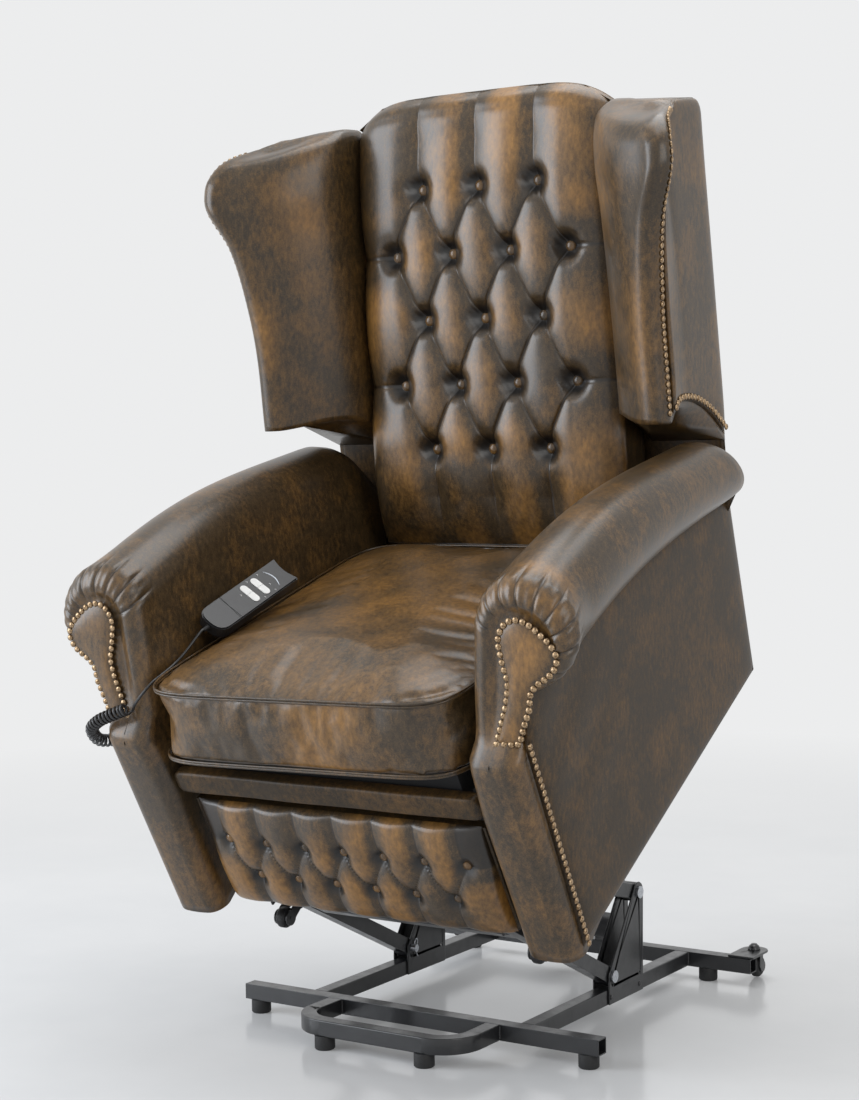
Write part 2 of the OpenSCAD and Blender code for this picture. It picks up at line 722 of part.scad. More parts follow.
// Box cushion: rounded outline, drawn-in borders between two piped edges, crowned top
cushion_n = 40;
corner_pow = 0.22;
cushion_skew = 22;
function cushion_pt(x, v, z) =
    [x, v + cushion_skew * (1 + x / cushion_half_w) / 2 * (1 - v / cushion_len), z];
function cushion_ring(inset, z, k) = [for (i = [0 : cushion_n - 1]) let (a = 360 * i / cushion_n)
    cushion_pt((cushion_half_w - inset) * sgn_pow(cos(a), corner_pow) * k,
        cushion_len / 2 + (cushion_len / 2 - inset) * sgn_pow(sin(a), corner_pow) * k, z)];
pipe_out = 3;
draw_in = 5;
crown_shares = [[0.90, 0.55], [0.70, 0.86], [0.42, 0.98], [0.18, 1]];
module seat_cushion() {
    color(leather) in_chair() in_cushion() skin(concat(
        [cushion_ring(0, 0, 0.5), cushion_ring(draw_in + pipe_out, 0, 1), cushion_ring(0, pipe_out, 1),
         cushion_ring(draw_in, 2 * pipe_out + draw_in, 1), cushion_ring(pipe_out, cushion_t / 2, 1),
         cushion_ring(draw_in, cushion_t - 2 * pipe_out - draw_in, 1),
         cushion_ring(0, cushion_t - pipe_out, 1)],
        [for (c = crown_shares) cushion_ring(0, cushion_t + cushion_crown * c[1], c[0])]
    ));
}
rail_cover = 6;
front_rail_t = board_u + rail_cover;
module front_rail() {
    color(leather_dark) in_chair()
        translate([-arm_in_x + rim, board_u - front_rail_t, front_rail_w])
            cube([2 * (arm_in_x - rim), front_rail_t - rim, front_rail_h]);
}

// Arms: every section is one outline in X and W, its depth runs from the front face to the rear face
arm_front_shares = [[0, -0.055], [0.60, -0.045], [0.625, 0.045], [0.94, 0.263], [1, 0.29]];
function table(t, v, i = 0) = v >= t[len(t) - 1][0] ? t[len(t) - 1][1] :
    v <= t[0][0] ? t[0][1] :
    v >= t[i + 1][0] ? table(t, v, i + 1) :
    mix(t[i][1], t[i + 1][1], (v - t[i][0]) / (t[i + 1][0] - t[i][0]));
arm_top = roll_w + roll_r;
function arm_front_u(w) = panel_front_h * table(arm_front_shares, w / arm_top);
panel_slope = panel_rear_lean / panel_rear_h;
arm_rear_in = 12;
rear_top_round = 0.5;
arm_rear_cut = 58;
arm_cut_rise = 150;
function arm_rear_u(w) = panel_len + panel_slope * w - arm_rear_in
    - max(0, w - panel_rear_h) * rear_top_round
    - arm_rear_cut * clamp((panel_rear_h - w) / arm_cut_rise, 0, 1);
arm_level_shares = [0, 0.02, 0.12, 0.26, 0.42, 0.58, 0.74, 0.88, 0.98, 1];
function roll_mid(t) = mix(roll_w, roll_rear_w, t) + roll_arch * sin(180 * t);
function roll_rad(t) = mix(roll_r, roll_rear_r, t);
roll_steps = 14;
roll_from = 168;
inner_share = 0.5;
inner_top = 0.35;
panel_in = panel_x - panel_t;
flare_share = 0.12;
function roll_bell(t) = roll_flare * max(0, 1 - t / flare_share);
function arm_outline(t) = let (
        r = roll_rad(t), m = roll_mid(t), end = -acos((panel_in - rim - roll_x) / r)) concat(
    [[arm_in_x, -arm_drop(t)], [arm_in_x, (m - r * inner_top) * inner_share]],
    [for (i = [0 : roll_steps]) let (a = mix(roll_from, end, i / roll_steps))
        [roll_x + r * cos(a) + roll_bell(t) * max(0, cos(a) - cos(end)), m + r * sin(a)]],
    [[panel_in - rim, (m - r) / 2], [panel_in - rim, -arm_drop(t)]]
);
column_drop = 14;
column_share = 0.1;
function arm_drop(t) = column_drop * max(0, 1 - t / column_share);
function arm_ring(t, k) = let (m = roll_mid(t), mx = (arm_in_x + panel_in) / 2) [for (p = arm_outline(t))
    let (x = mix(mx, p[0], k), w = mix(m, p[1], k)) [x, mix(arm_front_u(w), arm_rear_u(w), t), w]];
end_k = 0.94;
module arm() {
    n = len(arm_level_shares) - 1;
    color(leather) in_chair() skin([for (i = [0 : n])
        arm_ring(arm_level_shares[i], i == 0 || i == n ? end_k : 1)]);
}
module arm_left() { mirror([1, 0, 0]) arm(); }
module arm_right() { arm(); }

// Keyhole panel on the scroll front
facing_t = 5;
facing_r = 43;
facing_neck = 20;
facing_foot = 17;
facing_foot_x = 335;
facing_x = roll_x + roll_flare;
facing_from = 6;
facing_mid = 138;
facing_neck_at = 66;
ledge_w = arm_top * arm_front_shares[2][0];
facing_top_w = arm_top * arm_front_shares[3][0];
facing_lean = atan2(arm_front_u(facing_top_w) - arm_front_u(ledge_w), facing_top_w - ledge_w);
module facing() {
    color(leather_dark) in_chair() translate([0, arm_front_u(ledge_w), ledge_w])
        rotate([90 - facing_lean, 0, 0])
        translate([0, 0, rim]) linear_extrude(facing_t) {
            translate([facing_x, facing_mid]) circle(r = facing_r, $fn = small_fn);
            polygon([
                [facing_foot_x - facing_foot, facing_from], [facing_foot_x + facing_foot, facing_from],
                [facing_x, facing_neck_at], [facing_x + facing_neck, facing_mid - facing_neck],
                [facing_x - facing_neck, facing_mid - facing_neck],
                [facing_x - 2 * facing_neck, facing_neck_at]
            ]);
        }
}
module arm_facings() { for (side = [0, 1]) mirror([side, 0, 0]) facing(); }
panel_front_in = 17;
function panel_top(t) = roll_mid(t) - roll_rad(t) - rim;
module side_panel() {
    color(leather_dark) in_chair() translate([panel_in, 0, 0]) rotate([90, 0, 90])
        linear_extrude(panel_t) polygon(concat(
        [[0, 0], [panel_len, 0], [panel_len + panel_slope * panel_top(1), panel_top(1)]],
        [for (i = [len(arm_level_shares) - 1 : -1 : 0]) let (t = arm_level_shares[i], w = panel_top(t))
            [mix(arm_front_u(w), arm_rear_u(w), t), w]],
        [[panel_front_in, panel_front_h]]
    ));
}
module side_panel_left() { mirror([1, 0, 0]) side_panel(); }
module side_panel_right() { side_panel(); }
cover_from = 20;
cover_to = 186;
cover_bulge = 9;
rear_lean = atan(panel_slope);
module rear_cover() {
    color(cloth_black) in_chair() translate([0, panel_len, 0]) rotate([-rear_lean, 0, 0])
        translate([-panel_in + rim, -arm_rear_in + rim, cover_from])
            cube([2 * (panel_in - rim), arm_rear_in - rim + cover_bulge, cover_to - cover_from]);
}
supply_w = 80;
supply_len = 95;
supply_h = 26;
supply_x = 45;
module power_supply() {
    color(plastic_dark) in_chair() translate([supply_x, rear_bar_u - supply_len, rear_bar_w])
        cube([supply_w, supply_len, supply_h]);
}

// Footrest: board, padding, links and drive, in the chair frame
board_from_w = 5;
board_back = 12;
board_rear_u = board_t + board_back;
link_t = 6;
link_h = 18;
link_pin_r = 5;
link_gap = 0.5;
link_head_t = 2;
link_head_r = 8;
rear_link_x = foot_ear_x + ear_t + link_gap;
front_link_x = rear_link_x + link_t + link_gap;
link_head_x = front_link_x + link_t + link_gap;
foot_knee = [foot_pivot_u, foot_pivot_w - foot_link_len];
board_pivot_u = 52;
board_pivot_w = 185;
board_pivot = [board_pivot_u, board_pivot_w];
foot_lever = 35;
foot_tip = [foot_pivot_u, foot_pivot_w - foot_lever];
module flat_link(a, b, x0, ra, rb) {
    translate([x0, 0, 0]) rotate([90, 0, 90]) linear_extrude(link_t)
        link_outline(a, b, link_h, eye_r, ra, rb);
}
module footrest_board() {
    color(wood) in_chair() translate([-board_half_w, board_rear_u - board_t, board_from_w])
        cube([2 * board_half_w, board_t, board_h]);
    color(steel_black) in_chair() for (side = [0, 1]) mirror([side, 0, 0]) {
        difference() {
            union() {
                translate([rear_link_x, board_rear_u, board_pivot_w - eye_r])
                    cube([link_t, board_pivot_u - board_rear_u, 2 * eye_r]);
                x_bar(board_pivot, rear_link_x, rear_link_x + link_t, eye_r);
            }
            x_bar(board_pivot, rear_link_x - over, rear_link_x + link_t + over, link_pin_r);
        }
        x_bar(board_pivot, rear_link_x, front_link_x + link_t + link_gap, link_pin_r);
        x_bar(board_pivot, link_head_x, link_head_x + link_head_t, link_head_r);
    }
}
module footrest_rear_links() {
    color(steel_black) in_chair() {
        for (side = [0, 1]) mirror([side, 0, 0]) {
            flat_link(foot_pivot, foot_knee, rear_link_x, link_pin_r + bore_play, link_pin_r);
            x_bar(foot_knee, rear_link_x, front_link_x + link_t, link_pin_r);
        }
        x_bar(foot_tip, foot_motor_x - eye_w / 2 - link_gap, rear_link_x + over, pin_r);
    }
}
tie_wall = 3;
module footrest_tie() {
    color(steel_black) in_chair() x_bar(foot_knee, -rear_link_x, rear_link_x, link_pin_r + tie_wall);
}
module footrest_front_links() {
    color(steel_black) in_chair() for (side = [0, 1]) mirror([side, 0, 0])
        flat_link(foot_knee, board_pivot, front_link_x, link_pin_r + bore_play, link_pin_r + bore_play);
}

// Diamond tufting: 0 along the pleats and on the button seats, 1 in the middle of each diamond
function tuft(a, b) = pow(abs(sin(90 * (a + b)) * sin(90 * (a - b))), tuft_pow);
// A flat seat round each button of the lattice
function on_seat(a, b, seat) = (round(a) + round(b)) % 2 == 0
    && max(abs(a - round(a)), abs(b - round(b))) < seat;
tuft_pow = 0.45;
back_seat_shares = [0, 0.2, 0.5, 0.8];
foot_seat_shares = [0, 0.25, 0.5, 0.75];
seat_more = 1.05;
button_gap = rim;
foot_pitch = 72;
foot_row_w = 62;
foot_row_gap = 66;
foot_pad_half = 258;
foot_pad_h = 196;
foot_pad_w = 1;
foot_tuft_depth = 17;
foot_edge_share = 0.45;
function foot_edge(w) = 1 - foot_edge_share * pow(abs(2 * (w - foot_pad_w) / foot_pad_h - 1), 4);
function foot_side(x) = 1 - foot_edge_share * pow(abs(x) / foot_pad_half, 12);
function foot_base_u(x, w) = board_rear_u - board_t - rim - board_pad_t * foot_edge(w) * foot_side(x);
function foot_face(x, w) = let (
        a = clamp(abs(x) * 2 / foot_pitch, 0, 6),
        b = 1 - clamp((w - foot_row_w) / foot_row_gap, 0, 1),
        on = on_seat(a, b, foot_seat_shares[1] * seat_more),
        x1 = on ? round(a) * foot_pitch / 2 : x,
        w1 = on ? foot_row_w + (1 - round(b)) * foot_row_gap : w)
    foot_base_u(x1, w1) + foot_tuft_depth * foot_edge(w1) * (on ? 1 : 1 - tuft(a, b));
foot_left_shares = [-1, -0.93];
foot_right_shares = [0.93, 1];
foot_cols = concat(foot_left_shares * foot_pad_half,
    [for (i = [-6 : 5], f = foot_seat_shares) (i + f) * foot_pitch / 2], [3 * foot_pitch],
    foot_right_shares * foot_pad_half);
foot_low_shares = [0, 0.06, 0.18];
foot_high_shares = [0.82, 0.94, 1];
foot_levels = concat([for (f = foot_low_shares) foot_pad_w + f * foot_pad_h],
    [for (f = foot_seat_shares) foot_row_w + f * foot_row_gap], [foot_row_w + foot_row_gap],
    [for (f = foot_high_shares) foot_pad_w + f * foot_pad_h]);
module footrest_pad() {
    color(leather) in_chair() skin([for (w = foot_levels) concat(
        [for (x = foot_cols) [x, foot_face(x, w), w]],
        [[foot_pad_half, board_rear_u - board_t - rim, w], [-foot_pad_half, board_rear_u - board_t - rim, w]]
    )]);
}
button_t = 5;
module button(r) {
    translate([0, 0, button_gap]) rotate_extrude($fn = small_fn)
        polygon([[0, 0], [r, 0], [r, button_t / 2], [r / 2, button_t], [0, button_t]]);
}
module foot_button(x, w) {
    translate([x, foot_face(x, w), w]) rotate([90, 0, 0]) button(board_button_r);
}
module footrest_buttons() {
    color(leather_dark) in_chair() {
        for (i = [-3 : 3]) foot_button(i * foot_pitch, foot_row_w + foot_row_gap);
        for (i = [-2.5 : 2.5]) foot_button(i * foot_pitch, foot_row_w);
    }
}
foot_play = 7.5;
foot_barrel = 140;
foot_rod_in = 100;
module footrest_motor() {
    in_chair() at_line(foot_motor_x, foot_base, foot_tip) actuator_body(foot_barrel, motor_inward);
}
module footrest_rod() {
    in_chair() at_line(foot_motor_x, foot_base, foot_tip)
        actuator_rod(foot_rod_in, gap(foot_base, foot_tip), foot_play);
}

// Back: board frame, hinges, buttoned pad and outside back
back_rear = 75;
back_taper = 0.116;
back_shell = 10;
back_board_t = 22;
upright_mid = 191;
upright_w = 32;
upright_in = upright_mid - upright_w / 2;
rail_board_h = 45;
back_top_in = 44;
back_low = 28;
upright_top_in = 52;
taper_deg = atan(back_taper);
module in_outside() {
    in_back() translate([0, back_rear, 0]) rotate([taper_deg, 0, 0]) children();
}
module back_uprights() {
    color(wood) in_outside() for (side = [-1, 1])
        translate([side * upright_mid - upright_w / 2, -back_shell - back_board_t, 0])
            cube([upright_w, back_board_t - rim, back_h - upright_top_in]);
}
rail_at_shares = [0.03, 0.46, 0.88];
module back_rails() {
    color(wood) in_outside() for (f = rail_at_shares)
        translate([-upright_in + rim, -back_shell - back_board_t, f * back_h])
            cube([2 * (upright_in - rim), back_board_t - rim, rail_board_h]);
}
recline_tip_s = 72.6;
recline_tip_t = -80.8;
recline_tip = [recline_tip_s, recline_tip_t];
recline_play = 5;
hinge_plate_t = 4;
hinge_plate_x = chassis_x - link_gap - hinge_plate_t;
hinge_arm_s = 55;
hinge_foot_d = 20;
hinge_arm_t = 95;
lever_s = 49;
lever_h = 16;
flange_t = 5;
rail_low_t = rail_at_shares[0] * back_h;
module lever(x0) {
    difference() {
        union() {
            strut([lever_s, rail_low_t - flange_t], recline_tip, x0, x0 + ear_t, lever_h);
            x_bar(recline_tip, x0, x0 + ear_t, eye_r);
        }
        x_bar(recline_tip, x0 - over, x0 + ear_t + over, pin_r);
    }
}
lever_out = eye_w / 2 + ear_gap + ear_t;
flange_low = rail_low_t - rim - flange_t;
module recline_hinges() {
    color(steel_black) {
        in_back() {
            for (side = [0, 1]) mirror([side, 0, 0]) {
                strut([0, 0], [hinge_arm_s, 0], hinge_plate_x, hinge_plate_x + hinge_plate_t, 2 * hinge_r);
                x_bar([0, 0], hinge_plate_x, hinge_plate_x + hinge_plate_t, hinge_r);
                x_bar([0, 0], hinge_plate_x, chassis_x + chassis_t + pin_head_t, pin_r);
            }
            lever(recline_motor_x - lever_out);
            lever(recline_motor_x + lever_out - ear_t);
            x_bar(recline_tip, recline_motor_x - lever_out, recline_motor_x + lever_out, pin_r);
        }
        in_outside() {
            for (side = [0, 1]) mirror([side, 0, 0])
                translate([hinge_plate_x, -back_shell - back_board_t + over, -hinge_r])
                    cube([hinge_plate_t, hinge_foot_d, hinge_arm_t]);
            translate([recline_motor_x - lever_out, over - back_shell - back_board_t, flange_low])
                cube([2 * lever_out, hinge_foot_d, flange_t]);
        }
    }
}
front_shares = [
    [0.02, 0.15], [0.05, 0.36], [0.09, 0.6], [0.15, 0.82], [0.25, 0.94],
    [0.42, 1], [0.90, 0.98], [0.955, 0.90], [0.985, 0.74], [1, 0.54]
];
rear_shares = [[0, 1], [0.935, 1], [0.955, 0.35], [0.975, 0.2], [1, 0.9]];
edge_share = 0.42;
function back_edge(x) = 1 - edge_share * pow(abs(x) / back_half_w, 9);
function tuft_fade(t) = clamp((t - back_low) / (row_base - back_low), 0, 1);
function back_base_s(x, t) = -back_pad_reach * table(front_shares, t / back_h) * back_edge(x);
function back_face(x, t) = let (
        a = clamp(abs(x) * 2 / button_pitch, 0, 3),
        b = clamp((t - row_base) / row_pitch, 0, 4),
        on = on_seat(a, b, back_seat_shares[1] * seat_more),
        x1 = on ? round(a) * button_pitch / 2 : x,
        t1 = on ? row_base + round(b) * row_pitch : t)
    back_base_s(x1, t1)
    + tuft_depth * tuft_fade(t1) * table(top_fade_shares, t1 / back_h) * (on ? 1 : 1 - tuft(a, b));
top_fade_shares = [[0.92, 1], [1, 0.3]];
function back_rear_s(t) = back_rear - back_taper * t
    - (back_shell + back_board_t + rim) * table(rear_shares, t / back_h);
back_left_shares = [-1, -0.955, -0.86];
back_right_shares = [0.86, 0.955, 1];
back_cols = concat(back_left_shares * back_half_w,
    [for (i = [-3 : 2], f = back_seat_shares) (i + f) * button_pitch / 2], [3 * button_pitch / 2],
    back_right_shares * back_half_w);
low_level_shares = [0, 0.22, 0.45, 0.68, 0.86];
top_level_shares = [0.86, 0.905, 0.935, 0.955, 0.975, 0.99, 1];
back_levels = concat([for (f = low_level_shares) mix(back_low, row_base, f)],
    [for (i = [0 : 3], f = back_seat_shares) row_base + (i + f) * row_pitch], [row_base + 4 * row_pitch],
    [for (f = top_level_shares) f * back_h]);
side_drop = 42;
drop_from_share = 0.9;
function top_drop(x, t) = side_drop * pow(abs(x) / back_half_w, 6)
    * clamp((t / back_h - drop_from_share) / (1 - drop_from_share), 0, 1);
rear_x_shares = [1, 0.8, 0, -0.8, -1];
module back_pad() {
    color(leather) in_back() skin([for (t = back_levels) concat(
        [for (x = back_cols) [x, back_face(x, t), t - top_drop(x, t)]],
        [for (f = rear_x_shares) let (x = f * back_half_w) [x, back_rear_s(t), t - top_drop(x, t)]]
    )]);
}
module back_button(x, t) {
    translate([x, back_face(x, t), t]) rotate([90, 0, 0]) button(button_r);
}
module back_buttons() {
    color(leather_dark) in_back() for (row = [0 : 4], i = [-1.5 : 0.5 : 1.5])
        if (round(i + row / 2) == i + row / 2) back_button(i * button_pitch, row_base + row * row_pitch);
}
outside_low = -14;
outside_half = 376;
outside_step = 130;
module outside_back() {
    low_half = panel_in - rim;
    top = back_h - back_top_in;
    color(leather_dark) in_outside() rotate([90, 0, 0]) linear_extrude(back_shell) polygon([
        [-low_half, outside_low], [low_half, outside_low], [low_half, outside_step],
        [outside_half, outside_step], [outside_half, top], [-outside_half, top],
        [-outside_half, outside_step], [-low_half, outside_step]
    ]);
}

// Wings: rings from the arched lower edge to the curved top
wing_in = 247;
wing_out = 377;
wing_panel_t = 5;
wing_front_shares = [
    [0, 1], [0.25, 1.06], [0.45, 1.14], [0.65, 1.25], [0.82, 1.38], [0.90, 1.33], [0.96, 1.16], [1, 0.86]
];
wing_reach = 182;
wing_flare_shares = [[0, 0.06], [0.4, 0.1], [0.65, 0.3], [0.82, 0.62], [0.92, 0.5], [1, 0.2]];
wing_flare = 88;
wing_low_shares = [[0, 0.30], [0.35, 0.337], [0.6, 0.325], [1, 0.253]];
wing_top_shares = [[0, 0.875], [0.3, 0.91], [0.7, 0.925], [1, 0.94]];
wing_levels = [0, 0.02, 0.14, 0.28, 0.42, 0.55, 0.67, 0.77, 0.85, 0.91, 0.96, 0.99, 1];
wing_roll = 24;
function wing_pt(x, f, push, tau, k) = let (
        s0 = -wing_reach * table(wing_front_shares, tau) + push,
        t = back_h * mix(table(wing_low_shares, f), table(wing_top_shares, f), tau),
        s1 = back_rear - back_taper * t - back_shell - rim)
    [mix((wing_in + wing_out) / 2, x, k), mix(s0, s1, f), t];
// Key points of a section: share of the way out, roll radii across, share of the way back, roll radii back
wing_in_shares = [
    [0, 0, 1, 0], [0, 0, 0.7, 0], [0, 0.5, 0.58, 0], [0.35, 0, 0.32, 0], [1, -2.6, 0.06, 1],
    [1, -2.1, 0, 0.33], [1, -1.2, 0, 0], [1, -0.33, 0, 0.25], [1, 0, 0, 1]
];
wing_out_shares = [[0.4, 0, 0.06, 1.4], [0, 0, 0.16, 2], [0, 0, 0.5, 0], [0, 0, 1, 0]];
function wing_key(x0, x1, f, tau, k) =
    wing_pt(mix(x0, x1, f[0]) + f[1] * wing_roll, f[2], f[3] * wing_roll, tau, k);
function wing_ring(tau, k) = let (edge = wing_out + wing_flare * table(wing_flare_shares, tau)) concat(
    [for (f = wing_in_shares) wing_key(wing_in, edge, f, tau, k)],
    [for (f = wing_out_shares) wing_key(wing_out - rim, edge, f, tau, k)]
);
module wing() {
    n = len(wing_levels) - 1;
    color(leather) in_back()
        skin([for (i = [0 : n]) wing_ring(wing_levels[i], i == 0 || i == n ? end_k : 1)]);
}
module wing_left() { mirror([1, 0, 0]) wing(); }
module wing_right() { wing(); }
wing_edge_shares = [0, 0.3, 0.6, 1];
wing_panel_from = 0.16;
function panel_pt(f, tau) = let (
        p = wing_pt(0, mix(wing_panel_from, 1, f), 2 * wing_roll * (1 - f), tau, 1))
    [p[1], p[2]];
module wing_panel() {
    n = len(wing_levels);
    e = len(wing_edge_shares);
    color(leather_dark) in_back() translate([wing_out, 0, 0]) rotate([90, 0, 90])
        linear_extrude(wing_panel_t) polygon(concat(
            [for (f = wing_edge_shares) panel_pt(f, 0)],
            [for (i = [e - 1 : -1 : 0]) panel_pt(wing_edge_shares[i], 1)],
            [for (i = [n - 2 : -1 : 1]) panel_pt(0, wing_levels[i])]
        ));
}
module wing_panels() { for (side = [0, 1]) mirror([side, 0, 0]) wing_panel(); }
recline_barrel = 190;
recline_rod_in = 150;
function back_to_chair(s, t) = let (a = back_lean - rise_tilt)
    [hinge_u + s * cos(a) - t * sin(a), hinge_w + s * sin(a) + t * cos(a)];
recline_end = back_to_chair(recline_tip_s, recline_tip_t);
module recline_motor() {
    in_chair() at_line(recline_motor_x, recline_base, recline_end)
        actuator_body(recline_barrel, motor_below);
}
module recline_rod() {
    in_chair() at_line(recline_motor_x, recline_base, recline_end)
        actuator_rod(recline_rod_in, gap(recline_base, recline_end), recline_play);
}

// Handset: it leans on the left arm beside the cushion. Its face is local +Z, its cord end local Y = 0
handset_at = [-270, 178, 172];
handset_rise = 7.4;
handset_turn = -8;
handset_lean = 36;
module in_handset() {
    in_chair() in_cushion() translate(handset_at) rotate([handset_rise, 0, handset_turn])
        rotate([0, handset_lean, 0]) children();
}
case_bevel = 3;
end_round = 25;
end_dip = 5;
case_steps = 12;
round_pow = 0.75;
function case_outline(inset) = concat(
    [for (i = [0 : case_steps]) let (a = 180 + 180 * i / case_steps) [
        handset_w / 2 + (handset_w / 2 - inset) * sgn_pow(cos(a), round_pow),
        end_round + (end_round - inset) * sgn_pow(sin(a), round_pow)]],
    [for (i = [0 : case_steps]) let (f = i / case_steps)
        [mix(handset_w - inset, inset, f), handset_len - inset - end_dip * sin(180 * f)]]
);
pill_at_shares = [0.655, 0.52];
pill_half = 19;
pill_r = 6.5;
key_gap = 0.3;
key_play = 0.25;
key_t = 3;
key_proud = 1.1;
pocket_deep = key_t - key_proud + key_travel + key_play;
// Half of a key pill, side -1 or 1 from its middle, grown by m
module half_pill(side, m) {
    translate([handset_w / 2, 0]) scale([side, 1]) {
        translate([key_gap - m, -pill_r - m]) square([pill_half - pill_r - key_gap + m, 2 * (pill_r + m)]);
        translate([pill_half - pill_r, 0]) circle(r = pill_r + m, $fn = small_fn);
    }
}
seam_share = 0.27;
seam_w = 0.8;
module handset_case() {
    color(plastic_dark) in_handset() difference() {
        union() {
            translate([0, 0, -handset_t]) linear_extrude(handset_t - case_bevel) polygon(case_outline(0));
            translate([0, 0, -case_bevel]) linear_extrude(case_bevel) polygon(case_outline(case_bevel / 2));
        }
        for (f = pill_at_shares) translate([0, f * handset_len, -pocket_deep])
            linear_extrude(pocket_deep + over) for (side = [-1, 1]) half_pill(side, key_play);
        translate([0, seam_share * handset_len, -seam_w]) cube([handset_w, seam_w, 2 * seam_w]);
        translate([handset_w / 2, 0, -handset_t / 2]) rotate([-90, 0, 0])
            cylinder(h = relief_in, r = relief_r + bore_play, $fn = small_fn);
    }
}
module key(row, side) {
    color(key_white) in_handset() translate([0, pill_at_shares[row] * handset_len, key_proud - key_t])
        linear_extrude(key_t) half_pill(side, 0);
}
module key_back_up() { key(0, -1); }
module key_back_down() { key(0, 1); }
module key_foot_up() { key(1, -1); }
module key_foot_down() { key(1, 1); }
relief_in = 6;
relief_r = 4.4;
relief_tip_r = 3.2;
relief_out = 16;
relief_ribs = 4;
module cord_relief() {
    color(rubber_black) in_handset() translate([handset_w / 2, relief_in - over, -handset_t / 2])
        rotate([90, 0, 0]) rotate_extrude($fn = small_fn) polygon(concat(
            [[cord_d / 2 + bore_play, 0], [relief_r, 0]],
            [for (i = [0 : relief_ribs - 1], k = [0, 1, 2, 3]) let (f = (i + k / 4) / relief_ribs)
                [mix(relief_r, relief_tip_r, f) - (k > 1 ? rib_deep : 0), mix(relief_in, relief_out, f)]],
            [[relief_tip_r, relief_out], [cord_d / 2 + bore_play, relief_out]]
        ));
}
rib_deep = 0.6;

// Cords, in the chair frame
function rot_x(p, a) = [p[0], p[1] * cos(a) - p[2] * sin(a), p[1] * sin(a) + p[2] * cos(a)];
function rot_y(p, a) = [p[0] * cos(a) + p[2] * sin(a), p[1], p[2] * cos(a) - p[0] * sin(a)];
function rot_z(p, a) = [p[0] * cos(a) - p[1] * sin(a), p[0] * sin(a) + p[1] * cos(a), p[2]];
function handset_pt(p) = [0, cushion_u, cushion_w]
    + rot_x(handset_at + rot_z(rot_x(rot_y(p, handset_lean), handset_rise), handset_turn), -cushion_fall);
function unit(v) = v / norm(v);
function spline_pt(p, i, t) = let (
        n = len(p) - 1, a = p[max(i - 1, 0)], b = p[i], c = p[min(i + 1, n)], d = p[min(i + 2, n)])
    (2 * b + (c - a) * t + (2 * a - 5 * b + 4 * c - d) * t * t + (3 * b - a - 3 * c + d) * t * t * t) / 2;
function spline(p, steps) = concat(
    [for (i = [0 : len(p) - 2], k = [0 : steps - 1]) spline_pt(p, i, k / steps)], [p[len(p) - 1]]);
function travel(line, i) = unit(line[min(i + 1, len(line) - 1)] - line[max(i - 1, 0)]);
// A vector square to the line at each point, carried along without twist
function sides(line) = [
    for (i = 0, v = unit(cross(travel(line, 0), [0, 1, 0]));
        i < len(line);
        i = i + 1, v = i < len(line) ? unit(v - travel(line, i) * (v * travel(line, i))) : v) v
];
function tube_rings(line, r, n) = let (v = sides(line)) [for (i = [0 : len(line) - 1])
    let (a = v[i], b = cross(travel(line, i), v[i]))
    [for (k = [0 : n - 1]) line[i] + r * (a * cos(360 * k / n) + b * sin(360 * k / n))]];
coil_route = [
    [-318, 0, 370], [-345, -5, 362], [-372, -10, 352], [-396, -8, 333], [-402, 2, 305],
    [-398, 28, 286], [-389, 54, 281]
];
coil_rings = 8;
coil_sides = 6;
coil_line = spline(coil_route, coil_rings * curls / (len(coil_route) - 1));
coil_out = sides(coil_line);
coil_r = (curl_d - cord_d) / 2;
coil = [for (i = [0 : len(coil_line) - 1]) let (a = 360 * i / coil_rings) coil_line[i]
    + coil_r * (coil_out[i] * cos(a) + cross(travel(coil_line, i), coil_out[i]) * sin(a))];
curl_gap = min([for (i = [0 : len(coil) - coil_rings - 3], k = [-2 : 2])
    norm(coil[i] - coil[i + coil_rings + k])]) - cord_d;
echo(curl_gap = curl_gap);
module curly_cord() {
    color(rubber_black) in_chair() skin(tube_rings(coil, cord_d / 2, coil_sides));
}
lead_gap = 1;
lead_clear = 2.2;
lead_in = relief_out - relief_in + lead_clear;
lead_out = lead_in + 6;
lead_route = concat(
    [for (d = [lead_in, lead_out]) handset_pt([handset_w / 2, -d, -handset_t / 2])],
    [[-266, 112, 400], [-271, 84, 396], [-271.5, 55, 399], [-271.5, 30, 402], [-279, 9, 395], [-298, 5, 378],
     [-312, 9, 363]],
    [coil[0] - lead_gap * unit(travel(coil, 0))]
);
lead_steps = 4;
lead_sides = 8;
module handset_lead() {
    color(rubber_black) in_chair() skin(tube_rings(spline(lead_route, lead_steps), cord_d / 2, lead_sides));
}
grommet_r = 5;
coil_end = coil[len(coil) - 1];
module cord_grommet() {
    color(rubber_black) in_chair()
        x_bar([coil_end[1], coil_end[2]], coil_end[0] + cord_d / 2 + rim, -panel_x, grommet_r);
}

cross_tubes();
side_rails();
front_loop();
base_feet();
lift_brackets();
base_pivot_pins();
rear_castor_plates();
rear_castor_fork_left();
rear_castor_fork_right();
rear_castor_wheel_left();
rear_castor_wheel_right();
lift_arms();
lift_cross_bar();
rear_lift_links();
front_roller_left();
front_roller_right();
lift_motor();
lift_rod();
chassis_sides();
chassis_bars();
seat_pivot_pins();
seat_box();
seat_springs();
seat_cushion();
front_rail();
arm_left();
arm_right();
arm_facings();
side_panel_left();
side_panel_right();
rear_cover();
power_supply();
footrest_board();
footrest_pad();
footrest_buttons();
footrest_rear_links();
footrest_tie();
footrest_front_links();
footrest_motor();
footrest_rod();
back_uprights();
back_rails();
recline_hinges();
back_pad();
back_buttons();
wing_left();
wing_right();
wing_panels();
outside_back();
recline_motor();
recline_rod();
handset_case();
key_back_up();
key_back_down();
key_foot_up();
key_foot_down();
cord_relief();
handset_lead();
curly_cord();
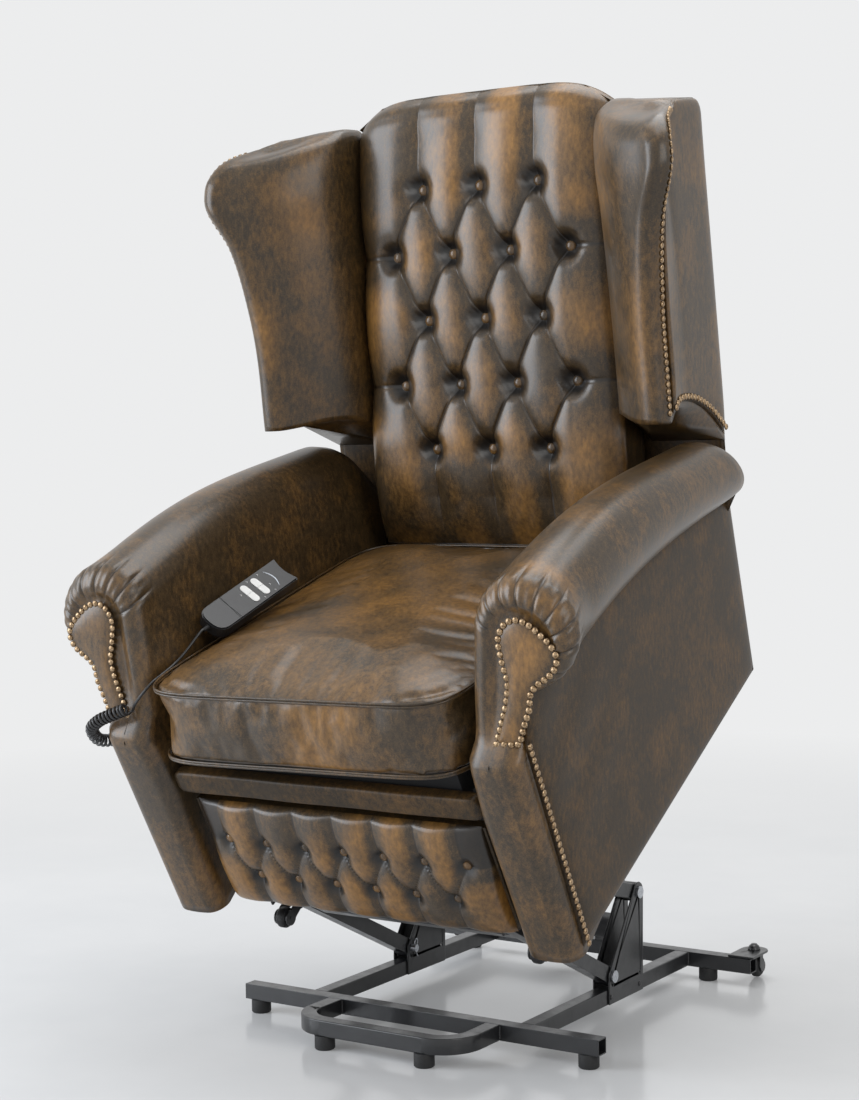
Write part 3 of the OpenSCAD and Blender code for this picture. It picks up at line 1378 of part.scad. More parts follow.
cord_grommet();
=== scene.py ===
# Wingback recliner in two-tone antique leather, standing risen on its lifting base.
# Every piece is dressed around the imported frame, in metres, and rides on one of its bodies.
import math

import bmesh
import bpy
import numpy as np
from mathutils import Matrix, Vector


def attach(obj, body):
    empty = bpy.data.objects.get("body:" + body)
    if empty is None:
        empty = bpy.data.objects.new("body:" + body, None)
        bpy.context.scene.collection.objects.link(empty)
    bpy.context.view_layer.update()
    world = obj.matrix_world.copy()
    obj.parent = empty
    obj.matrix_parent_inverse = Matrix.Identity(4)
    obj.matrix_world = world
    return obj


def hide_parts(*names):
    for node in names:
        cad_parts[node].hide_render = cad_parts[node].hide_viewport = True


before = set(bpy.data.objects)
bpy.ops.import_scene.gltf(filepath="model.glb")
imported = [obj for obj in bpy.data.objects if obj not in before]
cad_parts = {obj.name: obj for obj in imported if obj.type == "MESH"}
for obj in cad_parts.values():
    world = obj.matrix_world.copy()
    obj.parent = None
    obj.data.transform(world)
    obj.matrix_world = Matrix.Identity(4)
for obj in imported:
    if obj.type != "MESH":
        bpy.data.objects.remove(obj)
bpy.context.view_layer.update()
scene = bpy.context.scene


# Camera: right of the chair and level with the lower part of its back, looking slightly down.
# It gives the long-lens view in which the left wing's inner face shows.
camera_place = (1.805, -2.858, 0.938)
camera_yaw, camera_pitch, camera_roll = 33.03, 2.95, -0.80
bpy.ops.object.camera_add()
camera = bpy.context.object
camera.data.lens = 68.7
camera.data.sensor_width = 36
camera.matrix_world = (
    Matrix.Translation(camera_place)
    @ Matrix.Rotation(math.radians(camera_yaw), 4, "Z")
    @ Matrix.Rotation(math.radians(90 - camera_pitch), 4, "X")
    @ Matrix.Rotation(math.radians(camera_roll), 4, "Z")
)
scene.camera = camera
scene.view_settings.view_transform = "Standard"


# Curly cord and its straight lead: a black PVC handset cord that leaves the handset's rubber
# sleeve, lies in the crevice beside the cushion, and goes over the front into a wound stretch
# whose end enters a grommet in the left side panel. Both follow the routes of the solids.
class Wire:
    """One socket of a finish. Sums on it add Math nodes, and node() adds any other node."""

    def __init__(self, tree, socket):
        self.tree = tree
        self.socket = socket

    def node(self, kind, settings=(), inputs=(), out=0):
        made = self.tree.nodes.new("ShaderNode" + kind)
        for name, value in dict(settings).items():
            setattr(made, name, value)
        for key, value in dict(inputs).items():
            if isinstance(value, Wire):
                self.tree.links.new(value.socket, made.inputs[key])
            else:
                made.inputs[key].default_value = value
        return Wire(self.tree, made.outputs[out])

    def math(self, operation, first, second=0.0):
        return self.node("Math", {"operation": operation}, {0: first, 1: second})

    def __add__(self, other):
        return self.math("ADD", self, other)

    __radd__ = __add__

    def __mul__(self, other):
        return self.math("MULTIPLY", self, other)

    __rmul__ = __mul__

    def __sub__(self, other):
        return self.math("SUBTRACT", self, other)

    def __rsub__(self, other):
        return self.math("SUBTRACT", other, self)

    def either(self, other):
        """The larger of two wires."""
        return self.math("MAXIMUM", self, other)

    def between(self, low, high):
        """0 below low, 1 above high, and an even rise between them."""
        return self.node("MapRange", {}, {0: self, 1: low, 2: high})

    def noise(self, scale, detail=2.0, rough=0.5):
        """A cloud pattern over the vector on this wire."""
        sockets = {"Vector": self, "Scale": scale, "Detail": detail, "Roughness": rough}
        return self.node("TexNoise", {}, sockets)

    def stretched(self, across, along, up):
        """The vector on this wire with its three parts scaled."""
        return self.node("Mapping", {}, {"Vector": self, "Scale": (across, along, up)})

    def bump(self, strength, deep):
        """The normal of a surface that this wire raises by up to deep."""
        return self.node("Bump", {}, {"Strength": strength, "Distance": deep, "Height": self})

    def mixed(self, first, second):
        """Two colours mixed by the number on this wire."""
        return self.node("Mix", {"data_type": "RGBA"}, {0: self, 6: first, 7: second}, 2)


def new_finish(name, **sockets):
    """A material, its object coordinates as a wire, and a call that links shader sockets."""
    material = bpy.data.materials.new(name)
    material.use_nodes = True
    tree = material.node_tree
    shader = tree.nodes["Principled BSDF"]
    for key, value in sockets.items():
        shader.inputs[key.replace("_", " ")].default_value = value
    place = tree.nodes.new("ShaderNodeTexCoord").outputs["Object"]

    def link(**wires):
        for key, wire in wires.items():
            tree.links.new(wire.socket, shader.inputs[key.replace("_", " ")])

    return material, Wire(tree, place), link


def rgb(red, green, blue):
    """An opaque colour."""
    return (red, green, blue, 1)


def clouded(name, cloud, dark, light, rough=(), bump=(), **sockets):
    """A plain finish of two near colours in clouds. cloud holds what noise() takes.

    rough is the least roughness, how much a noise adds to it, and that noise. bump is the
    strength and depth of a fine grain, and its noise.
    """
    material, at, link = new_finish(name, **sockets)
    link(Base_Color=at.noise(*cloud).mixed(rgb(*dark), rgb(*light)))
    if rough:
        least, more, *noise = rough
        link(Roughness=least + more * at.noise(*noise))
    if bump:
        strength, deep, *noise = bump
        link(Normal=at.noise(*noise).bump(strength, deep))
    return material


def paint(piece, material):
    """Gives a piece or a CAD node one material."""
    piece.data.materials.clear()
    piece.data.materials.append(material)


mm = 0.001


def placed(place, degrees, axis="X"):
    """A move to a place and a turn about one axis there."""
    return Matrix.Translation(place) @ Matrix.Rotation(math.radians(degrees), 4, axis)


rise_tilt = 30
chair = placed((0, -0.264, 0.217), rise_tilt) @ Matrix.Scale(mm, 4)
cushion_ahead, cushion_up, cushion_fall = -40, 306, 13
on_cushion = chair @ placed((0, cushion_ahead, cushion_up), -cushion_fall)
handset_rise, handset_turn, handset_lean = 7.4, -8, 36
on_handset = (
    on_cushion
    @ placed((-270, 178, 172), handset_turn, "Z")
    @ Matrix.Rotation(math.radians(handset_rise), 4, "X")
    @ Matrix.Rotation(math.radians(handset_lean), 4, "Y")
)
handset_w, handset_len, handset_t = 53, 184, 21
cord_d, curl_d, curls = 4.4, 21, 24


def moved(into, points):
    """Points in millimetres, taken from a local frame into the chair's world, in metres."""
    turn = np.array(into)
    return np.asarray(points, float) @ turn[:3, :3].T + turn[:3, 3]


def flowing(keys, place):
    """Places along the first axis of an array of key points, on a smooth line through them."""
    last = len(keys) - 1
    at = np.minimum(place.astype(int), last - 1)
    f = (place - at).reshape(-1, *[1] * (keys.ndim - 1))
    a, b = keys[np.maximum(at - 1, 0)], keys[at]
    c, d = keys[at + 1], keys[np.minimum(at + 2, last)]
    bend, twist = 2 * a - 5 * b + 4 * c - d, 3 * b - a - 3 * c + d
    return (2 * b + (c - a) * f + bend * f**2 + twist * f**3) / 2


def line_through(points, count):
    """A smooth line of count + 1 points through the given ones."""
    points = np.asarray(points, float)
    return flowing(points, np.linspace(0, len(points) - 1, count + 1))


def directions(line):
    """The unit vector along a line at each of its points."""
    ahead = np.gradient(line, axis=0)
    return ahead / np.linalg.norm(ahead, axis=1)[:, None]


def sides_of(line):
    """A unit vector square to the line at each point, carried along it without twist."""
    ahead = directions(line)
    side = np.cross(ahead[0], (0, 1, 0))
    found = []
    for along in ahead:
        side = side - along * (side @ along)
        side = side / np.linalg.norm(side)
        found.append(side)
    return np.array(found)


def cord_curve(name, line, diameter):
    """A round cord of one open spline along points in metres."""
    curve = bpy.data.curves.new(name, "CURVE")
    curve.dimensions = "3D"
    curve.bevel_depth = diameter / 2
    curve.bevel_resolution = 3
    curve.use_fill_caps = True
    spline = curve.splines.new("POLY")
    spline.points.add(len(line) - 1)
    spline.points.foreach_set("co", np.c_[line, np.ones(len(line))].ravel())
    spline.use_smooth = True
    cord = bpy.data.objects.new(name, curve)
    scene.collection.objects.link(cord)
    return cord


curl_route = [
    (-318, 0, 370), (-345, -5, 362), (-372, -10, 352), (-396, -8, 333), (-402, 2, 305),
    (-398, 28, 286), (-389, 54, 281),
]
# The same winding as the solid's, with twice as many points to a turn
coarse_steps = 8
coarse = line_through(curl_route, coarse_steps * curls)
turns = np.arange(len(coarse)) * 2 * math.pi / coarse_steps
winding_r = (curl_d - cord_d) / 2
side = sides_of(coarse)
other = np.cross(directions(coarse), side)
index = np.arange(len(coarse))


def evenly(values, way, count):
    """Values given at distances along a way, read at count places spread evenly over it."""
    marks = np.linspace(0, way[-1], count)
    return np.stack([np.interp(marks, way, column) for column in values.T], axis=1)


middle, out, over, turn = (
    evenly(values, index, 2 * len(coarse) - 1) for values in (coarse, side, other, turns[:, None])
)
curl_mm = middle + winding_r * (out * np.cos(turn) + over * np.sin(turn))
curl_line = moved(chair, curl_mm)
handset_exit = moved(on_handset, [(handset_w / 2, y, -handset_t / 2) for y in (-8, -18)])
lead_mm = [
    (-266, 112, 400), (-271, 84, 396), (-271.5, 55, 399), (-271.5, 30, 402), (-279, 9, 395),
    (-298, 5, 378), (-312, 9, 363),
]
lead_gap = 1.0 * mm
curl_in = directions(curl_line)[0]
lead_stops = [handset_exit, moved(chair, lead_mm), [curl_line[0] - lead_gap * curl_in]]
lead_line = line_through(np.concatenate(lead_stops), 72)


def travelled(line):
    """How far along a line each of its points lies."""
    return np.r_[0, np.cumsum(np.linalg.norm(np.diff(line, axis=0), axis=1))]


pvc = clouded(
    "black_pvc", (90, 3), (0.010, 0.010, 0.011), (0.022, 0.022, 0.024),
    (0.34, 0.14, 400, 2), (0.15, 0.0002, 1600, 2), Roughness=0.42, Coat_Weight=0.15,
)
lead = cord_curve("handset_lead_cord", lead_line, cord_d * mm)
curl = cord_curve("curly_cord_winding", curl_line, cord_d * mm)
for cord, node in ((lead, "handset_lead"), (curl, "curly_cord")):
    paint(cord, pvc)
    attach(cord, "seat")
    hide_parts(node)


# Back pad: one leather cover over foam, drawn in by buttons in rows of 3, 4, 3, 4 and 3. The
# cover folds along the diagonals between the buttons, and pleats run off the outer ones.
back = placed((0, 0.175256, 0.736186), 3) @ Matrix.Scale(mm, 4)
back_h, back_low, back_half, back_reach = 776, 28, 243, 82
button_pitch, row_pitch, row_base = 110, 107.5, 192
fold_deep, pit_deep, pit_r = 12, 19, 22
back_rear, back_taper, back_board = 75, 0.116, 32.3
back_front_share = [
    (0.02, 0.15), (0.05, 0.36), (0.09, 0.6), (0.15, 0.82), (0.25, 0.94),
    (0.42, 1), (0.90, 0.98), (0.955, 0.90), (0.985, 0.74), (1, 0.54),
]
back_rear_share = [(0, 1), (0.935, 1), (0.955, 0.35), (0.975, 0.2), (1, 0.9)]


def curve_at(table, value):
    """A table of (place, amount) pairs read at value, eased between its lines."""
    places, amounts = np.array(table, float).T
    slope = np.gradient(amounts, places)
    flat = np.r_[False, np.diff(amounts) == 0]
    slope[flat] = 0
    value = np.clip(value, places[0], places[-1])
    i = np.clip(np.searchsorted(places, value, side="right") - 1, 0, len(places) - 2)
    h = places[i + 1] - places[i]
    f = (value - places[i]) / h
    g = f * f
    return (
        (1 + 2 * f) * (1 - f) ** 2 * amounts[i]
        + g * (3 - 2 * f) * amounts[i + 1]
        + f * (1 - f) ** 2 * h * slope[i]
        + g * (f - 1) * h * slope[i + 1]
    )


def stations(*stops):
    """Even steps between stops given as place, count, place, count, ..., place."""
    spans = zip(stops[:-2:2], stops[1::2], stops[2::2])
    parts = [np.linspace(a, b, n + 1)[:-1] for a, n, b in spans]
    return np.concatenate([*parts, [stops[-1]]])


def bell(value, middle, width):
    """1 where value is at the middle, falling off smoothly over a width on both sides."""
    return np.exp(-(((value - middle) / width) ** 2))


def ramp(value, start, over):
    """0 up to the start, 1 beyond a distance over, and an even rise between them."""
    return np.clip((value - start) / over, 0, 1)


def shaped_grid(name, points, into, folds=None, **fields):
    """A grid bent to rows and columns of places, with its doubles merged and its faces turned out.

    folds gives two diamond coordinates at each point, and the faces on a fold are split along it.
    """
    rows, columns = points.shape[:2]
    bpy.ops.object.select_all(action="DESELECT")
    bpy.ops.mesh.primitive_grid_add(x_subdivisions=columns - 1, y_subdivisions=rows - 1)
    piece = bpy.context.object
    piece.name = name
    piece.data.vertices.foreach_set("co", moved(into, points.reshape(-1, 3)).ravel())
    for field, values in fields.items():
        layer = piece.data.attributes.new(field, "FLOAT", "POINT")
        filled = np.broadcast_to(values, (rows, columns)).astype(np.float32)
        layer.data.foreach_set("value", filled.ravel())
    if folds is not None:
        bm = bmesh.new()
        bm.from_mesh(piece.data)
        bm.verts.ensure_lookup_table()
        p, q = (np.asarray(part).ravel() for part in folds)
        for face in list(bm.faces):
            corners = sorted(face.verts, key=lambda v: v.index)
            centre_p = sum(p[v.index] for v in corners) / 4
            centre_q = sum(q[v.index] for v in corners) / 4
            away_p, away_q = abs(centre_p - round(centre_p)), abs(centre_q - round(centre_q))
            if min(away_p, away_q) < 0.08:
                pair = (corners[0], corners[3]) if away_q < away_p else (corners[1], corners[2])
                bmesh.utils.face_split(face, *pair)
        bm.to_mesh(piece.data)
        bm.free()
    bpy.ops.object.mode_set(mode="EDIT")
    bpy.ops.mesh.select_all(action="SELECT")
    bpy.ops.mesh.remove_doubles(threshold=0.00002)
    bpy.ops.mesh.normals_make_consistent(inside=False)
    bpy.ops.object.mode_set(mode="OBJECT")
    bpy.ops.object.shade_smooth()
    return piece


def tuft(p, q):
    """How high the cover stands between folds: 0 on a fold, 1 in the middle of a diamond."""
    return np.abs(np.sin(math.pi * p)) ** 0.48 * np.abs(np.sin(math.pi * q)) ** 0.34


def fold_shade_line(p, q):
    """Painted shade on folds: 1 along the tight ones running up to the right, less on the slack
    ones.
    """
    tight = bell(np.sin(math.pi * q), 0, 0.055)
    return np.maximum(tight, 0.5 * bell(np.sin(math.pi * p), 0, 0.05))


def to_nearest(across, up, places):
    """Distance in millimetres from each point of a cover to the nearest of its buttons."""
    return np.min([np.hypot(across - x, up - z) for x, z in places], axis=0)


def across_pad(U):
    """X round a closed section, from U = -3 at the rear middle over the front to U = 3."""
    behind = np.sign(U) * back_half * (1 - np.maximum(np.abs(U) - 2, 0))
    return np.where(np.abs(U) < 1, U * back_half, behind)


button_places = [
    (i * button_pitch, row_base + row * row_pitch)
    for row in range(5)
    for i in ((-1, 0, 1) if row % 2 == 0 else (-1.5, -0.5, 0.5, 1.5))
]
cap_steps = 5
cells = 26
outer_button = 165
top_row = row_base + 4 * row_pitch
outer_u = outer_button / back_half
xs = np.concatenate([
    stations(-1, 14, -outer_u),
    np.arange(-3 * cells + 1, 3 * cells) * button_pitch / 2 / cells / back_half,
    stations(outer_u, 14, 1),
])
U = np.concatenate([stations(-3, 5, -2, 8, -1)[:-1], xs, stations(1, 8, 2, 5, 3)[1:]])
ts = np.concatenate([
    stations(back_low, 44, row_base)[:-1],
    row_base + np.arange(0, 4 * cells) * row_pitch / cells,
    stations(top_row, 52, back_h),
])
V = np.concatenate([[back_low] * cap_steps, ts, [back_h] * cap_steps])
closing = np.linspace(0, 0.97, cap_steps)
shrink = np.concatenate([closing, np.ones(len(ts)), closing[::-1]])
U, T = np.meshgrid(U, V)
X = across_pad(U)
a = np.clip(X * 2 / button_pitch, -3, 3)
b = np.clip((T - row_base) / row_pitch, 0, 4)
p, q = (a + b) / 2, (a - b) / 2
crest = tuft(p, q)
pit = to_nearest(X, T, button_places)
pit_shape = np.exp(-((pit / pit_r) ** 2.4))
fade = ramp(T, back_low + 5, 80) * curve_at([(0.9, 1), (0.95, 0.75), (1, 0.3)], T / back_h)
crinkle = 0.9 * np.sin(0.55 * X + 0.35 * T) * bell(pit, 20, 9)
edge = 1 - 0.42 * np.abs(X / back_half) ** 9
slack = ramp(-T, -row_base, 150) + 0.5 * ramp(T, top_row, 120)
below_row = 1 + 0.5 * ramp(-T, -row_base, 60) * ramp(T, back_low, 60)
front = -back_reach * curve_at(back_front_share, T / back_h) * edge + fade * (
    fold_deep * (1 - crest) * below_row + pit_deep * pit_shape + crinkle * crest
)
rear = back_rear - back_taper * T - back_board * curve_at(back_rear_share, T / back_h)
drop = 42 * np.abs(X / back_half) ** 6 * ramp(T / back_h, 0.9, 0.1)
k = shrink[:, None]
# A short fold runs out from each end button of the two rows of four
side_fold = ramp(np.abs(X), outer_button, 25) * ramp(-np.abs(X), -215, 20) * sum(
    bell(T, row_base + row * row_pitch, 3) for row in (1, 3)
)
front = front + 3.0 * side_fold
depth = front + (rear - front) * ramp(np.abs(U), 1, 1)
slackened = 1 - slack * np.clip(0.9 - X / 130, 0, 0.85)
# Painted shade along the diagonal folds and the short side folds.
painted_fold_shade = np.maximum(fold_shade_line(p, q) * np.clip(fade * 1.6, 0, 1) * slackened, 0.7 * side_fold)
points = np.stack([X * k, depth * k + (1 - k) * 5, T - drop], axis=2)
front_side = (np.abs(U) < 1.02).astype(float)
# The fold and pit fields are painted shade: the cover is darkened along its folds and in the button
# pits.
back_pad = shaped_grid(
    "back_pad_cover", points, back, folds=(p, q),
    fold=np.clip(painted_fold_shade, 0, 1) * front_side,
    pit=pit_shape * fade * front_side,
    wear=ramp(crest, 0.55, 0.4) * front_side,
)


# Antique leather: pigmented hide, dark brown over tan, rubbed through to amber in the middle of
# each panel, painted shade in the folds and pits, and a fine pebbled grain under a satin top coat.
def antique_leather(
    name, rubbed, patch=0.0, gloss=0.36, deep=True, coat=0.3, tone=1.0, shine=0.5
):
    """rubbed is how much amber shows where a piece's wear is full; patch adds amber clouds.

    deep paints shade into the folds and pits, and tone scales the dye.
    """
    material, at, link = new_finish(
        name, Coat_Weight=coat, Coat_Roughness=0.24, Specular_IOR_Level=shine
    )
    dye = lambda *parts: rgb(*(part * tone for part in parts))
    cloud = at.noise(6, 2, 0.5)
    drift = at.noise(17, 3, 0.55)
    mottle = at.stretched(1, 1, 0.5).noise(150, 3, 0.62)
    speck = at.noise(520, 2, 0.6)
    field = lambda named: at.node("Attribute", {"attribute_name": named}, {}, 2)
    amber = (field("wear") * rubbed + patch) * cloud.between(0.34, 0.62) + (drift - 0.5) * 0.9
    amber = amber + (mottle - 0.5) * 0.5 + (speck - 0.5) * 0.4
    brown = (mottle * 0.5 + speck * 0.5).between(0.36, 0.66).mixed(
        dye(0.022, 0.0135, 0.006), dye(0.082, 0.050, 0.020)
    )
    tan = mottle.between(0.3, 0.7).mixed(dye(0.170, 0.082, 0.020), dye(0.300, 0.148, 0.034))
    colour = amber.between(0.02, 0.90).mixed(brown, tan)
    # Painted shade: the fold and pit fields darken the colour towards black in creases and button
    # pits.
    if deep:
        dark = field("fold").between(0.25, 1.0)
        colour = (dark * 0.85).mixed(colour, rgb(0.008, 0.005, 0.003))
        colour = field("pit").between(0.10, 0.62).mixed(colour, rgb(0.005, 0.0035, 0.0025))
    cell = {"Vector": at, "Scale": 520, "Smoothness": 0.6}
    grain = at.node("TexVoronoi", {"feature": "SMOOTH_F1"}, cell)
    height = grain * 0.7 + at.noise(260, 3, 0.6) * 0.6
    link(
        Base_Color=colour,
        Roughness=gloss + (mottle - 0.5) * 0.14 + (speck - 0.5) * 0.10,
        Normal=height.bump(0.16, 0.0007),
    )
    return material


tufted_leather = antique_leather("antique_leather_tufted", 0.95)
plain_leather = antique_leather(
    "antique_leather_plain", 0.85, 0.16, deep=False, tone=0.88, shine=0.42
)
panel_leather = antique_leather("antique_leather_panels", 0.5, 0.02, 0.40, deep=False, shine=0.4)
paint(back_pad, tufted_leather)
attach(back_pad, "back")
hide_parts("back_pad")


# Buttons: low metal domes covered in the same leather, 20 mm across. Each is pulled tight into
# its pit by a twine through the foam, which is tied off behind the pad.
def dome(radius, height, around, rows):
    """Points and faces of a low dome over the origin, opening down."""
    bpy.ops.object.select_all(action="DESELECT")
    bpy.ops.mesh.primitive_uv_sphere_add(segments=around, ring_count=2 * rows, radius=1)
    made = bpy.context.object
    bpy.ops.object.mode_set(mode="EDIT")
    bpy.ops.mesh.select_all(action="SELECT")
    bpy.ops.mesh.bisect(plane_co=(0, 0, 0), plane_no=(0, 0, 1), use_fill=True, clear_inner=True)
    bpy.ops.object.mode_set(mode="OBJECT")
    shape = np.array([v.co for v in made.data.vertices]) * (radius, radius, height)
    faces = [tuple(f.vertices) for f in made.data.polygons]
    bpy.data.objects.remove(made)
    return shape, faces


def domes(name, shape, faces, places, ups, into):
    """One piece of many like domes, each at its place and facing its own way."""
    verts, polys = [], []
    for place, up in zip(places, ups):
        up = np.asarray(up, float) / np.linalg.norm(up)
        first = np.cross(up, (0, 0, 1)) if abs(up[2]) < 0.9 else np.cross(up, (1, 0, 0))
        first /= np.linalg.norm(first)
        basis = np.stack([first, np.cross(up, first), up])
        polys += [tuple(v + len(verts) * len(shape) for v in f) for f in faces]
        verts.append(shape @ basis + place)
    mesh = bpy.data.meshes.new(name)
    mesh.from_pydata(moved(into, np.concatenate(verts)).tolist(), [], polys)
    mesh.polygons.foreach_set("use_smooth", [True] * len(polys))
    piece = bpy.data.objects.new(name, mesh)
    scene.collection.objects.link(piece)
    return piece


def back_front(x, t):
    """Depth of the back cover's front at a button."""
    edge = 1 - 0.42 * abs(x / back_half) ** 9
    return -back_reach * float(curve_at(back_front_share, t / back_h)) * edge + fold_deep + pit_deep


back_buttons = domes(
    "back_button_domes", *dome(10, 6, 20, 4),
    [(x, back_front(x, t) - 0.4, t) for x, t in button_places],
    [(0, -1, 0)] * len(button_places), back,
)
button_leather = antique_leather("antique_leather_buttons", 0.0, 0.7, 0.30, deep=False)
paint(back_buttons, button_leather)
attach(back_buttons, "back")
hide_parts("back_buttons")


# Wings: boards padded and covered in leather, with a fat roll down the front edge that flares
# outwards near the top. The lower edge is arched over the arm. Left is a mirror of right.
sides = (("left", -1), ("right", 1))
wing_in, wing_out, wing_roll = 247, 376.7, 24
wing_reach, wing_flare = 182, 88
wing_front_share = [
    (0, 1), (0.25, 1.06), (0.45, 1.14), (0.65, 1.25), (0.82, 1.38), (0.90, 1.33), (0.96, 1.16),
    (1, 0.86),
]
wing_flare_share = [(0, 0.06), (0.4, 0.1), (0.65, 0.3), (0.82, 0.62), (0.92, 0.5), (1, 0.2)]
wing_low_share = [
    (0, 0.300), (0.12, 0.316), (0.25, 0.327), (0.4, 0.330), (0.55, 0.324), (0.7, 0.309),
    (0.85, 0.285), (1, 0.253),
]
inner_low_share = [(0, 0.30), (0.35, 0.318), (0.6, 0.312), (1, 0.253)]
wing_top_share = [(0, 0.905), (0.3, 0.93), (0.6, 0.946), (1, 0.95)]
outer_top_share = [(0, 0.912), (0.3, 0.926), (0.7, 0.936), (1, 0.94)]
back_shell = 10.3


def wing_up(share, tau, low=wing_low_share, top=outer_top_share):
    """Height at a share of the way back and a share tau of the way up, between two edge curves."""
    return back_h * (curve_at(low, share) + tau * (curve_at(top, share) - curve_at(low, share)))


def wing_point(x, share, push, tau, *edges):
    """A point of the wing: share runs from its front edge to its rear edge, tau up its height."""
    front = -wing_reach * curve_at(wing_front_share, tau) + push
    up = wing_up(share, tau, *edges)
    rear = back_rear - back_taper * up - back_shell
    return np.stack([x + 0 * tau, front + share * (rear - front), up + 0 * tau], axis=-1)


def wing_section(tau):
    """The key points of one section, from the rear inside round the roll to the rear outside."""
    edge = wing_out + wing_flare * curve_at(wing_flare_share, tau)
    r = wing_roll
    wide = edge - wing_in
    inner = (inner_low_share, wing_top_share)
    inside = [
        (wing_in, 1, 0), (wing_in, 0.72, 0), (wing_in + 4, 0.5, 0),
        (wing_in + 0.22 * wide, 0.30, 0), (wing_in + 0.45 * wide, 0.13, 0.2 * r),
        (edge - 1.9 * r, 0.02, 0.2 * r), (edge - 1.05 * r, 0, 0),
    ]
    outside = [
        (edge - 0.35 * r, 0, 0.2 * r), (edge, 0, 0.9 * r),
        (wing_out + 0.45 * (edge - wing_out), 0.06, 1.4 * r), (wing_out, 0.16, 2 * r),
        (wing_out, 0.5, 0), (wing_out, 1, 0),
    ]
    keys = [wing_point(*key, tau, *inner) for key in inside]
    return np.stack(keys + [wing_point(*key, tau) for key in outside])


def smooth(share):
    """A share from 0 to 1 with soft starts and ends."""
    return share * share * (3 - 2 * share)


def wing_grid(tau, around):
    """The wing's points up its height and round it, from one key point to the next.

    The outside's points stand at the heights that the edge curves give where they are.
    """
    points = flowing(wing_section(tau), around).swapaxes(0, 1)
    front = -wing_reach * curve_at(wing_front_share, tau)[:, None]
    rear = back_rear - back_taper * points[..., 2] - back_shell
    share = np.clip((points[..., 1] - front) / (rear - front), 0, 1)
    up = wing_up(share, tau[:, None])
    points[..., 2] += (up - points[..., 2]) * smooth(ramp(around, 8, 1.5)[None])
    return points


top_round = np.linspace(0.15, math.pi / 2, 9)
wing_tau = np.concatenate([stations(0, 58, 0.95), 0.95 + 0.05 * np.sin(top_round)])
top_turn = np.concatenate([np.ones(59), 1 - 0.17 * (1 - np.cos(top_round))])
wing_around = stations(
    0, 3, 1, 4, 2, 8, 3, 12, 4, 8, 5, 8, 6, 8, 7, 8, 8, 6, 9, 5, 10, 5, 11, 3, 12
)
sections = wing_grid(wing_tau, wing_around)
middle = sections.mean(axis=1, keepdims=True)
rounding = np.stack([top_turn, 0.5 + 0.5 * top_turn, np.ones(len(top_turn))], axis=1)[:, None]
sections = middle + (sections - middle) * rounding
nail_at = int(np.argmin(np.abs(wing_around - 8.0)))
nail_line = sections[2:-5, nail_at]
across = sections[2:-5, nail_at + 2] - sections[2:-5, nail_at - 2]
nail_up = np.cross(np.gradient(nail_line, axis=0), across)
rings = np.concatenate([sections, sections[:, :1]], axis=1)
centre = rings[:, :-1].mean(axis=1)
caps = [
    centre[[i]][:, None] + (rings[[i]] - centre[[i]][:, None]) * s + (0, 0, lift)
    for i, s, lift in ((0, 0.0, 0), (0, 0.5, 0), (-1, 0.6, 4), (-1, 0.0, 6))
]
rings = np.concatenate([caps[0], caps[1], rings, caps[2], caps[3]])
around = np.r_[wing_around, 12.5]
tau_all = np.r_[0, 0, wing_tau, 1, 1][:, None]
wing_wear = bell(around, 3.0, 1.0) * bell(tau_all, 0.66, 0.28)
wing_wear = wing_wear + 0.7 * bell(around, 5.6, 0.7) * bell(tau_all, 0.3, 0.35)
for side, sign in sides:
    wing = shaped_grid(f"wing_{side}_cover", rings * (sign, 1, 1), back, wear=wing_wear)
    paint(wing, plain_leather)
    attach(wing, "back")
    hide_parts("wing_" + side)


# Nail heads: antiqued brass domes 11 mm across, driven edge to edge along the wings' front and
# lower edges, round the scroll facings and down the front edge of the side panels.
nail_pitch = 11.0
nail_shape, nail_faces = dome(5.4, 3.4, 10, 3)
brass, at, link = new_finish("antique_brass", Metallic=0.85)
worn = at.noise(420, 2)
link(
    Base_Color=worn.between(0.35, 0.65).mixed(rgb(0.16, 0.095, 0.045), rgb(0.50, 0.36, 0.22)),
    Roughness=0.24 + 0.2 * worn,
)


def nail_row(name, line, ups, into, body):
    """A row of nail heads along a line, each facing the way of the cover under it."""
    ups = np.broadcast_to(ups, line.shape)
    ups = ups / np.linalg.norm(ups, axis=1)[:, None]
    way = travelled(line)
    count = max(2, int(round(way[-1] / nail_pitch)) + 1)
    places, facing = evenly(line, way, count), evenly(ups, way, count)
    row = domes(name, nail_shape, nail_faces, places, facing, into)
    paint(row, brass)
    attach(row, body)


for side, sign in sides:
    mirror = (sign, 1, 1)
    nail_row("wing_nails_" + side, nail_line * mirror, -nail_up * mirror, back, "back")


# Wing outsides: leather pulled flat over the board on each wing's outer face. Its arched lower
# edge, over the arm, is trimmed with a row of nails.
def puffed(base, out, thick, edge_power):
    """A pulled cover over base points, as thick as named but thinning to nothing at its rim."""
    rows, columns = base.shape[:2]
    u, v = np.meshgrid(np.linspace(-1, 1, columns), np.linspace(-1, 1, rows))
    rise = np.sqrt(np.clip((1 - np.abs(u) ** edge_power) * (1 - np.abs(v) ** edge_power), 0, 1))
    bulge = rise[..., None] * thick * np.array(out)
    return np.concatenate([base + bulge, (base[:, ::-1] + 0.02 * bulge)[:, 1:]], axis=1), rise


outer = wing_grid(wing_tau, np.linspace(8.45, 12, 44))
outer = (middle + (outer - middle) * rounding)[1:-2] + (0.3, 0, 0)
panel_points, _ = puffed(outer, (1, 0, 0), 7.5, 14)
trim = outer[1, 2:-1] + (5.5, 0, 0)
for side, sign in sides:
    panel = shaped_grid("wing_outside_" + side, panel_points * (sign, 1, 1), back, wear=0.35)
    paint(panel, panel_leather)
    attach(panel, "back")
    if sign < 0:
        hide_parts("wing_panels")
    nail_row("wing_arch_nails_" + side, trim * (sign, 1, 1), (sign, 0, 0), back, "back")


